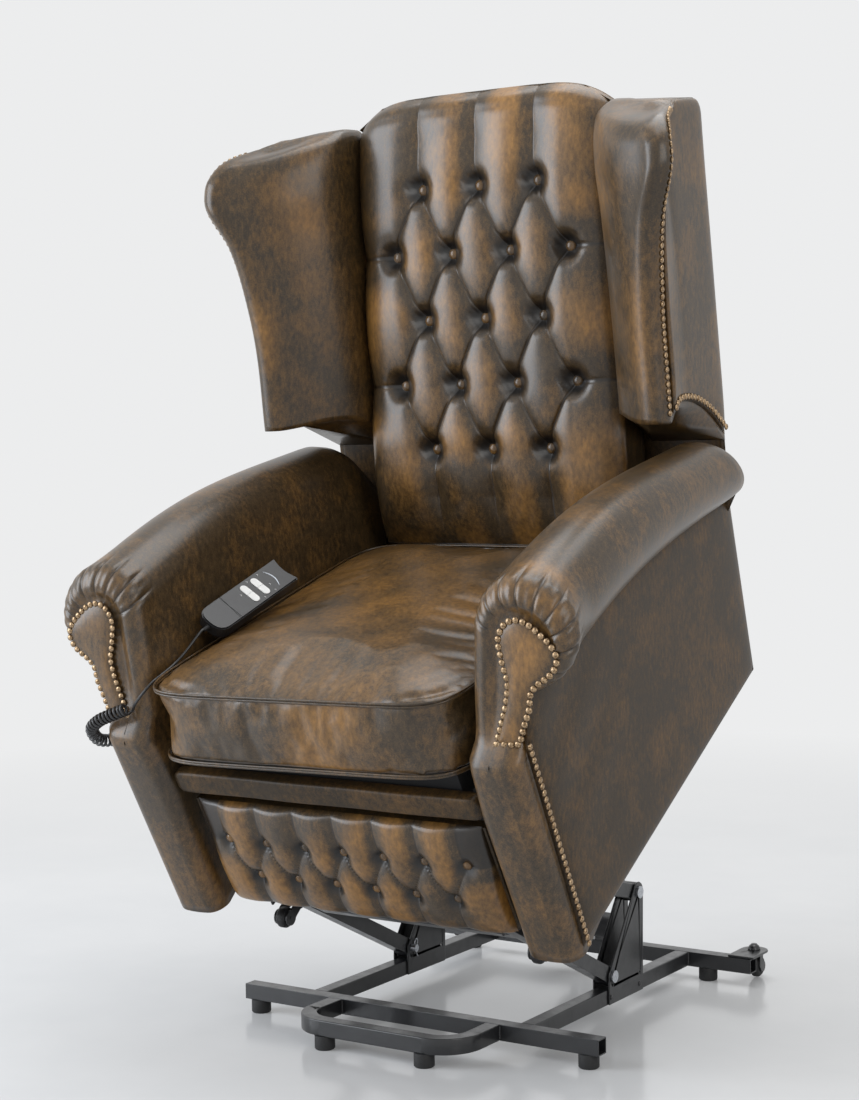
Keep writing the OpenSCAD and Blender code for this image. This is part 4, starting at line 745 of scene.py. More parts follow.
# Arms: padded walls that end in a roll, one cover drawn forward over the front in a fat rounded
# border. The border is gathered round the scroll in nine pleats. Left is a mirror of right.
arm_in, panel_in = 279, 370.7
roll_x, roll_flare, flare_share = 368, 16, 0.13
roll_r, roll_rear_r, roll_w, roll_rear_w, roll_arch = 72, 62, 480, 366, 31
panel_front_h, panel_len, panel_slope = 344, 678, 0.2178
rear_bend_w, border_r = 303, 25
scroll_centre = (384, 468)
pleat_angles = (160, 136, 112, 88, 64, 40, 16, -10, -40)
front_face = ((0, -0.055), (0.60, -0.045), (0.625, 0.045), (0.94, 0.263), (1, 0.29))


def arm_front(w):
    """How far back the front face lies at a height, with its ledge rounded over."""
    heights, depths = zip(*front_face)
    tried = [
        np.interp((w + step) / (roll_w + roll_r), heights, depths)
        for step in (-7, -4.5, -2, 0, 2, 4.5, 7)
    ]
    return panel_front_h * sum(tried) / len(tried)


def arm_rear(w):
    """How far back the rear end lies at a height, drawn in above and below its bend."""
    deep = 58 * ramp(-w, -rear_bend_w, 150)
    return panel_len + panel_slope * w - 12 - 0.5 * np.maximum(0, w - rear_bend_w) - deep


def roll_size(t):
    """Radius and middle height of the roll at a share of the arm's length."""
    high = roll_w + (roll_rear_w - roll_w) * t + roll_arch * np.sin(math.pi * t)
    return roll_r + (roll_rear_r - roll_r) * t, high


wall_steps, over_angles = 34, np.radians(np.linspace(168, -87.9, 200))
wall_share = np.linspace(0, 1, wall_steps + 1)[:-1]


def arm_section(t):
    """X and height round one section, from the inner foot over the roll to the outer foot."""
    r, m = roll_size(t)
    foot = -14 * max(0, 1 - t / 0.1)
    start = (roll_x + r * math.cos(over_angles[0]), m + r * math.sin(over_angles[0]))
    knee_w = (m - 0.35 * r) / 2
    inner_w = foot + (start[1] - foot) * wall_share
    lean = np.maximum(0, inner_w - knee_w) / (start[1] - knee_w)
    puff = ramp(inner_w, 120, 120) * ramp(-inner_w, -start[1], 90)
    inner_x = arm_in + (start[0] - arm_in) * lean - 8 * puff * min(1, t / 0.08 + 0.2)
    wide = roll_flare * max(0.0, 1 - t / flare_share) ** 1.5
    over_x = roll_x + r * np.cos(over_angles) + wide * np.maximum(0, np.cos(over_angles) - 0.037)
    over_w = m + r * np.sin(over_angles)
    outer_w = over_w[-1] + (foot - over_w[-1]) * np.linspace(0, 1, wall_steps + 1)[1:]
    x = np.concatenate([inner_x, over_x, np.full(wall_steps, panel_in)])
    return x, np.concatenate([inner_w, over_w, outer_w])


rim_x, rim_w = arm_section(0)
angle = np.degrees(np.pad(over_angles, wall_steps, "edge"))
spine_w = np.minimum(rim_w, scroll_centre[1])
on_roll = slice(wall_steps, wall_steps + len(over_angles))
lobe = smooth(ramp(-angle, 30, 58))
lobe_w = scroll_centre[1] + (rim_w[on_roll][-1] - scroll_centre[1]) * lobe
spine_w[on_roll] = lobe_w[on_roll]
spine_x = np.interp(spine_w, [345, 470], [326, scroll_centre[0]])
reach = np.hypot(rim_x - spine_x, rim_w - spine_w)
inward = np.stack([(spine_x - rim_x) / reach, (spine_w - rim_w) / reach])
border = np.minimum(border_r, 0.8 * reach)
in_scroll = ramp(rim_w, 360, 40)
pleat_r = 80
gather = np.zeros(len(angle))
crease = np.zeros(len(angle))
for at_angle in pleat_angles:
    apart = np.radians(angle - at_angle) * pleat_r
    fall = np.where(apart > 0, 1.4, 3.6)
    crease = np.maximum(crease, np.exp(-np.abs(apart / fall) ** 1.3))
    gather += 1.4 * bell(np.abs(apart), 9, 6)
crease *= in_scroll
gather *= in_scroll
column = smooth(ramp(-rim_w, -400, 60))


def crown(d):
    """How far the cover stands proud of the board at a distance in from the rim."""
    roll = 3.5 * np.sin(math.pi * np.clip(d / 40, 0, 1))
    soft = 6.0 * np.sin(math.pi / 2 * np.clip(d / reach, 0, 1)) ** 0.8
    return roll * (1 - column) + soft * column


arm_grid = []


def arm_row(x, u, w, fold, wear):
    """Adds one row of the arm's cover: its places, and what its leather shows there."""
    arm_grid.append(np.stack(np.broadcast_arrays(x, u, w, fold, wear), axis=1))


# Over the front from the spine out to the border, round the border, back along the arm, and shut
for share in np.linspace(1, 0, 13)[:-1]:
    d = border + (reach - border) * share
    x, w = rim_x + inward[0] * d, rim_w + inward[1] * d
    dip = 3.0 * bell(d, 40, 9) * in_scroll - crown(d)
    fold = crease * ramp(-d, -border_r - 14, 14)
    arm_row(x, arm_front(w) + dip + 2.6 * fold, w, fold, 0.25 * bell(d, 30, 14))
for turn in np.radians(np.linspace(90, 0, 13)):
    d = border * (1 - math.cos(turn))
    deep = crease * 3.0 - crown(d) - gather * 0.8
    x, w = (rim + way * (d + math.cos(turn) * deep) for rim, way in zip((rim_x, rim_w), inward))
    u = arm_front(w) + border * (1 - math.sin(turn)) + math.sin(turn) * deep
    arm_row(x, u, w, crease, 0.35 * math.sin(2 * turn))
centre_x, centre_w = (arm_in + panel_in) / 2, 200
for t in [*np.linspace(0, 0.06, 16)[1:], *(0.06 + 0.94 * np.linspace(0, 1, 44)[1:])]:
    x, w = arm_section(t)
    shrink = 1 - 0.10 * (1 - math.sqrt(1 - ramp(t, 0.965, 0.035) ** 2))
    _, m = roll_size(t)
    fade = max(0.0, 1 - t * 700 / 46) ** 1.4
    deep = (crease * 3.0 - gather * 0.8) * fade
    x = centre_x + (x + inward[0] * deep - centre_x) * shrink
    w = m + (w + inward[1] * deep - m) * shrink
    first_u = arm_front(w) + border
    patch = bell(angle, 55, 45) * (0.85 * bell(t, 0.05, 0.03) + 0.6 * bell(t, 0.42, 0.22))
    arm_row(x, first_u + (arm_rear(w) - first_u) * t, w, crease * fade, patch)
rear_x, _, rear_w, _, _ = arm_grid[-1].T
for share in (0.6, 0.0):
    w = centre_w + (rear_w - centre_w) * share
    arm_row(centre_x + (rear_x - centre_x) * share, arm_rear(w), w, 0, 0)
arm_grid = np.stack([np.concatenate([row, row[:1]]) for row in arm_grid])
# The fold field is painted shade in the pleats round the scroll.
arm_fields = {"fold": arm_grid[..., 3], "wear": arm_grid[..., 4], "pit": 0.0}
arm_leather = antique_leather("antique_leather_arms", 0.9, 0.10, 0.38)
for side, sign in sides:
    arm = shaped_grid("arm_cover_" + side, arm_grid[..., :3] * (sign, 1, 1), chair, **arm_fields)
    paint(arm, arm_leather)
    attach(arm, "seat")
    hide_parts("arm_" + side)


# Scroll facings: keyhole-shaped panels of leather on the slanted fronts of the arms. Each is
# padded up in the middle and nailed all round.
plane_w, plane_lean = 345, math.radians(23.3)
facing_keys = [
    (329, 2), (340, 32), (349, 59), (354, 88), (350, 107), (346, 126), (344, 149), (355, 169),
    (373, 176), (393, 170), (410, 157), (425, 143), (433, 126), (427, 109), (416, 99), (401, 89),
    (389, 76), (385, 54), (377, 35), (369, 13), (366, 5), (348, 3),
]
# The share of the outline and how far the cover stands out there, from the rim to the hub
facing_rise = (
    (1.0, 0.0), (1.0, 3.0), (0.96, 5.2), (0.90, 6.6), (0.80, 7.6), (0.65, 8.8), (0.45, 9.6),
    (0.25, 10.0), (0.0, 10.1),
)


def on_front(x, v, out):
    """A place on the slanted front plane, standing out from it."""
    u = panel_front_h * 0.045 + v * math.sin(plane_lean) - out * math.cos(plane_lean)
    w = plane_w + v * math.cos(plane_lean) + out * math.sin(plane_lean)
    return np.stack([x, u, w], axis=1)


facing_edge = line_through(np.array(facing_keys + facing_keys[:1]), 132)
edge_x, edge_v = facing_edge[:, 0], facing_edge[:, 1]
hub_v = np.clip(edge_v, 20, 130)
hub_x = np.interp(hub_v, [20, 60, 90, 130], [352, 367, 372, 388])
rings, ring_wear = [], []
for share, out in facing_rise:
    x = hub_x + (edge_x - hub_x) * share
    v = hub_v + (edge_v - hub_v) * share
    rings.append(on_front(x, v, out - 1.0))
    ring_wear.append((1 - share**2) * np.interp(v, [10, 60, 110, 150], [0.9, 0.35, 1.0, 0.9]))
facing_points = np.stack(rings)
facing_fields = {"wear": np.array(ring_wear), "fold": 0.0, "pit": 0.0}
nail_ring = on_front(edge_x, edge_v, 4.6)[:-1]
front_way = (0, -math.cos(plane_lean), math.sin(plane_lean))
for side, sign in sides:
    mirror = (sign, 1, 1)
    facing = shaped_grid("arm_facing_" + side, facing_points * mirror, chair, **facing_fields)
    paint(facing, arm_leather)
    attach(facing, "seat")
    if sign < 0:
        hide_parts("arm_facings")
    nail_row("facing_nails_" + side, nail_ring * mirror, front_way, chair, "seat")


# Side panels: leather stretched flat over a board from the roll's underside to the lower edge,
# with a row of nails down its front edge.
def panel_edge(f):
    """The panel's upper edge at a share of its length, just under the roll."""
    r, m = roll_size(f)
    w = m - r - 0.5
    rear = arm_rear(w) + 12
    return np.stack([arm_front(w) + (rear - arm_front(w)) * f, w], axis=-1)


across = np.linspace(0, 1, 64)
rising = np.linspace(0, 1, 44)[:, None]
top_u, top_w = panel_edge(across).T
grid_u = panel_len * across + (top_u - panel_len * across) * rising
grid_w = top_w * rising
front_u = np.interp(grid_w[:, :1], [0, panel_front_h, top_w[0]], [0, 17, top_u[0]])
rear_u = panel_slope * grid_w[:, -1:] + panel_len
grid_u += (front_u - grid_u[:, :1]) * (1 - across) ** 2
grid_u += (rear_u - grid_u[:, -1:]) * across**3
pull = 0.7 * np.sin((grid_w - 0.35 * grid_u) / 17) * bell(grid_u, 120, 120) * ramp(grid_w, 60, 200)


def upright(x, u, w):
    """Places from an x, a depth and a height, each a number or an array."""
    return np.stack(np.broadcast_arrays(x, u, w), axis=-1)


panel_sheet, rise = puffed(upright(371.2, grid_u, grid_w), (1, 0, 0), 8.0, 14)
panel_sheet[:, : len(across), 0] += pull * rise
strip_w = np.linspace(panel_front_h, 3, 30)
strip = upright(377.8, np.interp(strip_w, [0, panel_front_h], [5, 18]), strip_w)
side_leather = antique_leather(
    "antique_leather_sides", 0.55, 0.0, 0.46, deep=False, coat=0.1, tone=0.72, shine=0.28
)
for side, sign in sides:
    mirror = (sign, 1, 1)
    panel = shaped_grid("side_cover_" + side, panel_sheet * mirror, chair, wear=0.3)
    paint(panel, side_leather)
    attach(panel, "seat")
    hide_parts("side_panel_" + side)
    nail_row("panel_nails_" + side, strip * mirror, (sign, 0, 0), chair, "seat")


# Front rail: a narrow board between the arms, below the cushion, covered in the leather of the
# side panels. The cover is turned under at both long edges.
def squared(turn, power):
    """Across and up round a circle drawn out towards its four corners."""
    return tuple(np.sign(v) * np.abs(v) ** power for v in (np.cos(turn), np.sin(turn)))


rail_half = 278.4
rail_x = np.linspace(-rail_half, rail_half, 90)[:, None]
rail_round, rail_high = squared(np.linspace(0, 2 * math.pi, 49), 0.45)
ends = 1 - 0.9 * np.abs(rail_x / rail_half) ** 60
ripple = 0.5 * np.sin(rail_x / 31) * (rail_round < 0)
rail_rings = upright(rail_x, 8 + 13.4 * ends * rail_round + ripple, 237 + 19.5 * ends * rail_high)
rail = shaped_grid("front_rail_cover", rail_rings, chair, wear=0.35 + 0.3 * np.sin(rail_x / 60))
paint(rail, side_leather)
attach(rail, "seat")
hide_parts("front_rail")


# Footrest pad: foam on the board that folds out, under a leather cover with the same deep
# buttoning as the back. The buttons are in two rows of 7 and 6.
foot_half, foot_low, foot_high = 258, 1, 197
foot_pitch, row_low, row_gap = 72, 62, 66
foot_back, foot_deep = 11.7, 27
foot_cells = 14
half_cells = 6 * foot_cells
fx = np.concatenate([
    stations(-foot_half, 12, -3 * foot_pitch),
    np.arange(-half_cells + 1, half_cells) * foot_pitch / 2 / foot_cells,
    stations(3 * foot_pitch, 12, foot_half),
])
fw = np.concatenate([
    stations(foot_low, 22, row_low)[:-1],
    row_low + np.arange(0, foot_cells * 2) * row_gap / foot_cells / 2,
    stations(row_low + row_gap, 26, foot_high),
])
FX, FW = np.meshgrid(fx, fw)
a = np.clip(FX * 2 / foot_pitch, -6, 6)
b = 1 - np.clip((FW - row_low) / row_gap, 0, 1)
p, q = (a + b) / 2, (a - b) / 2
foot_crest = tuft(p, q)
foot_places = [(i * foot_pitch, row_low + row_gap) for i in range(-3, 4)] + [
    ((i - 2.5) * foot_pitch, row_low) for i in range(6)
]
foot_pit = bell(to_nearest(FX, FW, foot_places), 0, 15)


def off_middle(x, w):
    """How far a place is from the pad's middle, across and up, with 1 at its edges."""
    return np.abs(x) / foot_half, np.abs(2 * (w - foot_low) / (foot_high - foot_low) - 1)


def foot_face(x, w, folded=0):
    """Depth of the pad's face, with folded for how far the leather is drawn in there."""
    off_x, off_w = off_middle(x, w)
    edge = 1 - 0.45 * off_w**4
    return foot_back - foot_deep * edge * (1 - 0.45 * off_x**12) + edge * folded


off_x, off_w = off_middle(FX, FW)
shut = np.sqrt(np.clip(1 - off_x**40, 0, 1)) * np.sqrt(np.clip(1 - off_w**30, 0, 1))
face_u = foot_face(FX, FW, 8 * (1 - foot_crest) + 10 * foot_pit)
face_u = 11.6 + (face_u - 11.6) * shut
join = lambda front, rear: np.concatenate([front, rear[:, ::-1]], axis=1)
both = lambda field: join(field, 0 * field)
# The fold and pit fields are painted shade along the folds and in the button pits.
foot_cover = shaped_grid(
    "footrest_cover", join(upright(FX, face_u, FW), upright(FX, foot_back, FW)), chair,
    folds=(join(p, p), join(q, q)), fold=both(fold_shade_line(p, q)), pit=both(foot_pit),
    wear=both(ramp(foot_crest, 0.5, 0.4)),
)
paint(foot_cover, tufted_leather)
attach(foot_cover, "foot_board")
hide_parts("footrest_pad")
foot_buttons = domes(
    "footrest_button_domes", *dome(8, 5, 16, 4),
    [(x, foot_face(x, w) + 17.0, w) for x, w in foot_places],
    [(0, -1, 0)] * len(foot_places), chair,
)
paint(foot_buttons, button_leather)
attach(foot_buttons, "foot_board")
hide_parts("footrest_buttons")


# Seat cushion: a foam block in a boxed cover. Both edges are welted, and the panels between the
# welts are blown up as cloth, so that the top crowns and the sides pull in at the seams.
cushion_half, cushion_len, cushion_t, cushion_crown = 268, 655, 113, 24
welt_r, welt_apart = 1.9, 4.4
corner_power, cushion_skew = 0.22, 22


def cushion_ring(inset, z, share, count=240):
    """One closed level of the cushion, with its places spread evenly round it."""
    across, along = squared(np.linspace(0, 2 * math.pi, 2000), corner_power)
    line = np.stack([(cushion_half - inset) * across, (cushion_len / 2 - inset) * along], axis=1)
    x, v = evenly(line, travelled(line), count + 1).T * share
    v = v + cushion_len / 2
    v = v + cushion_skew * (1 + x / cushion_half) / 2 * (1 - v / cushion_len)
    return upright(x, v, float(z))


low_z, high_z = 3.0, cushion_t - 3.0
boxing_rings = ((1.5, low_z), (4, 14), (6, 34), (6.5, 56), (6, 78), (4, 98), (1.5, high_z))
crown_rings = (
    (0.975, 0.2), (0.93, 0.42), (0.84, 0.66), (0.70, 0.84), (0.5, 0.95), (0.3, 0.99), (0, 1),
)
crown_start = (cushion_crown + 3) * 0.72
levels = [cushion_ring(0, 1.2, k) for k in (0, 0.3, 0.6, 0.85, 0.96)]
levels += [cushion_ring(inset, z, 1) for inset, z in boxing_rings]
levels += [cushion_ring(1.5, high_z + crown_start * rise, k) for k, rise in crown_rings]
seat_cushion = shaped_grid("seat_cushion_cover", np.stack(levels), on_cushion)
bpy.context.view_layer.objects.active = seat_cushion
remesh = seat_cushion.modifiers.new("evened", "REMESH")
remesh.mode = "VOXEL"
remesh.voxel_size = 0.0075
bpy.ops.object.modifier_apply(modifier="evened")
to_local = np.linalg.inv(np.array(on_cushion))
start = np.array([v.co for v in seat_cushion.data.vertices])
local = start @ to_local[:3, :3].T + to_local[:3, 3]
seams = np.concatenate([cushion_ring(1.5, z, 1, 700) for z in (low_z, high_z)])
to_seam = np.full(len(local), 1e9)
for chunk in np.array_split(np.arange(len(seams)), 40):
    gap = np.linalg.norm(local[:, None] - seams[None, chunk], axis=2).min(axis=1)
    to_seam = np.minimum(to_seam, gap)
held = seat_cushion.vertex_groups.new(name="seams")
pinned = np.flatnonzero((to_seam < 5.5) | (local[:, 2] < 2.5))
held.add(pinned.tolist(), 1.0, "REPLACE")
cloth = seat_cushion.modifiers.new("blown_up", "CLOTH")
settings = cloth.settings
settings.quality = 5
settings.mass = 0.35
settings.use_pressure = True
settings.uniform_pressure_force = 4
settings.effector_weights.gravity = 0
settings.tension_stiffness = settings.compression_stiffness = 12
settings.bending_stiffness = 1.5
settings.shrink_min = -0.02
settings.vertex_group_mass = "seams"
cloth.point_cache.frame_start, cloth.point_cache.frame_end = 1, 20
for frame_number in range(1, 21):
    scene.frame_set(frame_number)
settled = seat_cushion.evaluated_get(bpy.context.evaluated_depsgraph_get())
blown = np.array([v.co for v in settled.data.vertices])
seat_cushion.modifiers.remove(cloth)
seat_cushion.vertex_groups.clear()
scene.frame_set(1)
went = blown - start
far = np.linalg.norm(went, axis=1, keepdims=True)
blown = start + went * np.minimum(1, 0.022 / np.maximum(far, 1e-9))
seat_cushion.data.vertices.foreach_set("co", blown.ravel())
local = blown @ to_local[:3, :3].T + to_local[:3, 3]
# Painted shade: the fold field darkens the leather within a few millimetres of each welted seam.
painted_seam_shade = bell(to_seam, 0, 5)
boxing = (local[:, 2] < high_z - 3) & (local[:, 1] < 60)
wear = np.where(boxing, 0.75 + 0.25 * np.sin(local[:, 0] / 55 + 1.0), 0.0)
top_wear = 0.55 * bell(local[:, 1], 330, 200) + 0.25
wear = np.where(local[:, 2] >= high_z - 3, top_wear, wear)
for field, values in (("wear", wear), ("fold", 0.8 * painted_seam_shade), ("pit", 0 * wear)):
    layer = seat_cushion.data.attributes.new(field, "FLOAT", "POINT")
    layer.data.foreach_set("value", values.astype(np.float32))
finer = seat_cushion.modifiers.new("finer", "SUBSURF")
finer.levels = finer.render_levels = 1
bpy.ops.object.select_all(action="DESELECT")
seat_cushion.select_set(True)
bpy.context.view_layer.objects.active = seat_cushion
bpy.ops.object.shade_smooth()
cushion_leather = antique_leather("antique_leather_cushion", 0.85, 0.05, 0.38)
paint(seat_cushion, cushion_leather)
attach(seat_cushion, "seat")
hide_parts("seat_cushion")


def welt(name, line, radius, into, closed=True, sides=10):
    """A round leather-covered piping along a line of places, as a mesh."""
    path = line[:-1] if closed else line
    ahead = np.gradient(path, axis=0)
    if closed:
        ahead = np.roll(path, -1, axis=0) - np.roll(path, 1, axis=0)
    ahead = ahead / np.linalg.norm(ahead, axis=1)[:, None]
    first = np.cross(ahead, (0, 0, 1.0))
    first = first / np.maximum(np.linalg.norm(first, axis=1)[:, None], 1e-6)
    turn = np.linspace(0, 2 * math.pi, sides + 1)[:, None]
    ring = first[:, None] * np.cos(turn) + np.cross(ahead, first)[:, None] * np.sin(turn)
    tube = path[:, None] + radius * ring
    if closed:
        tube = np.concatenate([tube, tube[:1]])
    else:
        ends = np.repeat(path[[0, -1], None], sides + 1, axis=1)
        tube = np.concatenate([ends[:1], tube, ends[1:]])
    return shaped_grid(name, tube, into)


for level, z in (("low", low_z - 1.5), ("high", high_z + 1.0)):
    for which, step in (("under", -0.5), ("over", 0.5)):
        line = cushion_ring(-0.4, z + step * welt_apart, 1, 420)
        line[:, 2] = np.maximum(line[:, 2], 0.4)
        piping = welt(f"cushion_welt_{level}_{which}", line, welt_r, on_cushion)
        paint(piping, plain_leather)
        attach(piping, "seat")


# Handset: the solid's case with a parting line, a silver arc and small bare marks round its four
# rocker keys, which keep their own solids.
handset_plastic = clouded(
    "handset_plastic", (60, 3), (0.012, 0.012, 0.014), (0.022, 0.023, 0.026),
    (0.32, 0.18, 1500, 2), (0.2, 0.0001, 1500, 2), Roughness=0.38, Coat_Weight=0.1,
)
paint(bpy.data.objects["handset_case"], handset_plastic)
key_plastic = clouded(
    "white_key_plastic", (200, 2), (0.82, 0.83, 0.82), (0.90, 0.90, 0.89), (0.24, 0.12, 600, 2),
    Roughness=0.3,
)
for node in ("key_back_up", "key_back_down", "key_foot_up", "key_foot_down"):
    paint(bpy.data.objects[node], key_plastic)
    rounded = bpy.data.objects[node].modifiers.new("rounded", "BEVEL")
    rounded.width, rounded.segments, rounded.limit_method = 0.0007, 3, "ANGLE"


def ribbon(name, line, width, into, height):
    """A thin flat strip laid along a line of x and y places at a height."""
    line = np.asarray(line, float)
    ahead = directions(line)
    side = np.stack([-ahead[:, 1], ahead[:, 0]], axis=1)
    wide = np.broadcast_to(width, len(line))[:, None] / 2
    low = height - 0.25
    strip = np.stack([
        np.column_stack([line + side * wide * s, np.full(len(line), z)])
        for s, z in ((-1, low), (-1, height), (1, height), (1, low), (-1, low))
    ], axis=1)
    ends = np.repeat(strip[[0, -1]].mean(axis=1, keepdims=True), 5, axis=1)
    return shaped_grid(name, np.concatenate([ends[:1], strip, ends[1:]]), into)


# The parting line is a thin near-black strip on the case: painted shadow for its groove.
groove_x = np.linspace(1.5, handset_w - 1.5, 24)
groove_y = 0.27 * handset_len + 2.5 * np.cos(groove_x / handset_w * math.pi)
groove_line = np.column_stack([groove_x, groove_y])
groove = ribbon("handset_parting_line", groove_line, 0.7, on_handset, 0.12)
parting_line_painted_shadow = clouded(
    "parting_line_shadow", (90,), (0.002, 0.002, 0.002), (0.004, 0.004, 0.004), Roughness=0.7
)
paint(groove, parting_line_painted_shadow)
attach(groove, "seat")
arc_from = 8
arc_x = np.linspace(arc_from, handset_w - arc_from, 30)
arc_rise = np.sin(math.pi * (arc_x - arc_from) / (handset_w - 2 * arc_from))
arc_line = np.column_stack([arc_x, 0.80 * handset_len + 6.5 * arc_rise])
arc_wide = 0.5 + 2.2 * np.maximum(arc_rise, 0) ** 0.8
arc = ribbon("handset_silver_arc", arc_line, arc_wide, on_handset, 0.18)
silver = clouded(
    "silver_print", (300,), (0.50, 0.54, 0.60), (0.62, 0.66, 0.72), (0.3, 0.1, 900), Metallic=0.8
)
paint(arc, silver)
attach(arc, "seat")
white_print = clouded(
    "white_print", (300,), (0.70, 0.70, 0.70), (0.80, 0.80, 0.80), Roughness=0.5
)
mark_places = ((7, 0.735), (47, 0.60), (7, 0.60), (47, 0.735), (20, 0.445), (33, 0.745))
for i, (x, y) in enumerate(mark_places):
    y = y * handset_len
    arrow = [(x - 1.6, y - 1), (x, y + 1.2), (x + 1.6, y - 1)]
    mark = ribbon(f"handset_mark_{i + 1}", arrow, 0.8, on_handset, 0.15)
    paint(mark, white_print)
    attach(mark, "seat")
sleeve_rubber = clouded(
    "cord_sleeve_rubber", (120,), (0.010, 0.010, 0.011), (0.02, 0.02, 0.022), (0.45, 0.15, 700),
    Roughness=0.5,
)
for node in ("cord_relief", "cord_grommet"):
    paint(bpy.data.objects[node], sleeve_rubber)


# Outside back: one leather panel over the whole back, cut narrower where it goes down between the
# side panels. Below the recline hinge a black stretch cloth closes the seat box.
outside = back @ placed((0, back_rear, 0), math.degrees(math.atan(back_taper)))
step_t = 130
out_t = [np.linspace(-14, 127, 20), [step_t - 0.1, step_t + 0.1], np.linspace(133, 732, 60)]
out_t = np.concatenate(out_t)[:, None]
out_x = np.where(out_t < step_t, 370.5, 376.0) * np.linspace(-1, 1, 70)
corner_drop = 48 * ramp(np.abs(out_x), wing_in, 129) * ramp(out_t, 600, 132)
out_sheet, _ = puffed(upright(out_x, -9.8, out_t - corner_drop), (0, 1, 0), 13.0, 16)
outside_cover = shaped_grid("outside_back_cover", out_sheet, outside, wear=0.25)
paint(outside_cover, side_leather)
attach(outside_cover, "back")
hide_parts("outside_back")
on_rear = chair @ placed((0, panel_len, 0), -math.degrees(math.atan(panel_slope)))
cloth_x, cloth_w = np.meshgrid(np.linspace(-370, 370, 80), np.linspace(20.5, 178.0, 34))
folds_in = 0.8 * np.sin(cloth_x / 37 + cloth_w / 21) * ramp(cloth_w, 90, 90)
cloth_sheet, rise = puffed(upright(cloth_x, -11.0, cloth_w), (0, 1, 0), 12.0, 12)
cloth_sheet[:, : cloth_x.shape[1], 1] += folds_in * rise
rear_cloth = shaped_grid("rear_cloth_cover", cloth_sheet, on_rear)
weave, at, link = new_finish("black_stretch_cloth", Roughness=0.9, Sheen_Weight=0.3)
threads = at.stretched(1, 1, 0.9).noise(900, 2)
shade = threads * 0.5 + at.noise(12, 3) * 0.5
link(
    Base_Color=shade.mixed(rgb(0.006, 0.006, 0.007), rgb(0.024, 0.024, 0.026)),
    Normal=threads.bump(0.4, 0.0003),
)
paint(rear_cloth, weave)
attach(rear_cloth, "seat")
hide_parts("rear_cover")


# Steel: square tube, plate and links, welded up and powder-coated satin black. The coat is a
# little orange-peeled, and edges are rounded as drawn tube and cut plate are.
powder_black, at, link = new_finish("powder_coated_black", Coat_Weight=0.25, Coat_Roughness=0.12)
scuff = at.noise(38, 5, 0.7)
dust = at.noise(9, 4, 0.6)
link(
    Base_Color=dust.between(0.35, 0.75).mixed(rgb(0.0075, 0.0078, 0.009), rgb(0.019, 0.020, 0.022)),
    Roughness=0.30 + 0.22 * scuff.between(0.4, 0.8),
    Normal=at.noise(480, 2).bump(0.12, 0.0004),
)
zinc_plate, at, link = new_finish("zinc_plated_steel", Metallic=0.95)
spangle = at.node("TexVoronoi", {}, {"Vector": at, "Scale": 260})
link(
    Base_Color=spangle.between(0, 0.8).mixed(rgb(0.60, 0.62, 0.65), rgb(0.42, 0.44, 0.47)),
    Roughness=0.24 + 0.20 * at.noise(90, 4, 0.7),
)
moulded_black = clouded(
    "moulded_black_plastic", (30, 3), (0.010, 0.010, 0.011), (0.020, 0.020, 0.022),
    (0.38, 0.2, 700, 2), (0.25, 0.0002, 1400, 2), Roughness=0.45,
)
foot_rubber = clouded(
    "black_foot_rubber", (60, 4), (0.009, 0.009, 0.009), (0.022, 0.022, 0.023),
    (0.55, 0.3, 300, 3), Roughness=0.7,
)
steel_nodes = (
    "cross_tubes", "side_rails", "front_loop", "lift_brackets", "rear_castor_plates",
    "rear_castor_fork_left", "rear_castor_fork_right", "lift_arms", "lift_cross_bar",
    "rear_lift_links", "chassis_sides", "chassis_bars", "footrest_rear_links", "footrest_tie",
    "footrest_front_links", "recline_hinges",
)
zinc_nodes = (
    "base_pivot_pins", "seat_pivot_pins", "lift_rod", "footrest_rod", "recline_rod", "seat_springs",
)
plastic_nodes = (
    "lift_motor", "footrest_motor", "recline_motor", "power_supply", "front_roller_left",
    "front_roller_right",
)
rubber_nodes = ("base_feet", "rear_castor_wheel_left", "rear_castor_wheel_right")
for nodes, finish, edge in (
    (steel_nodes, powder_black, 0.0016), (zinc_nodes, zinc_plate, 0.0006),
    (plastic_nodes, moulded_black, 0.0015), (rubber_nodes, foot_rubber, 0.0010),
):
    for node in nodes:
        solid = bpy.data.objects[node]
        paint(solid, finish)
        solid.modifiers.new("merged", "WELD").merge_threshold = 0.00001
        bevel = solid.modifiers.new("eased", "BEVEL")
        bevel.width, bevel.segments = edge, 2
        bevel.limit_method, bevel.angle_limit = "ANGLE", math.radians(40)


# Wood: the back's frame in sawn beech. The footrest's board shows the side leather that it is
# covered in, and the seat box its black lining.
beech, at, link = new_finish("birch_and_beech", Roughness=0.6)
figure = at.stretched(0.6, 7, 7).noise(14, 4, 0.6)
pores = at.stretched(1, 18, 18).noise(60, 3, 0.6)
shade = (figure * 0.7 + pores * 0.4).between(0.3, 0.8)
link(
    Base_Color=shade.mixed(rgb(0.47, 0.31, 0.17), rgb(0.68, 0.50, 0.32)),
    Roughness=0.5 + 0.2 * pores,
    Normal=pores.bump(0.2, 0.0004),
)
for node in ("back_uprights", "back_rails"):
    paint(bpy.data.objects[node], beech)
paint(bpy.data.objects["footrest_board"], side_leather)
black_lining = clouded(
    "black_lining_cloth", (700, 2), (0.006, 0.006, 0.007), (0.020, 0.020, 0.021),
    bump=(0.3, 0.0003, 1200, 2), Roughness=0.85,
)
paint(bpy.data.objects["seat_box"], black_lining)


# Weld beads: short upright runs of overlapping ripples where the tubes of the base meet, left
# as they were welded and coated with the frame.
world_mm = Matrix.Scale(mm, 4)
bead_r, bead_low, bead_high, ripples = 1.9, 23, 46.4, 9


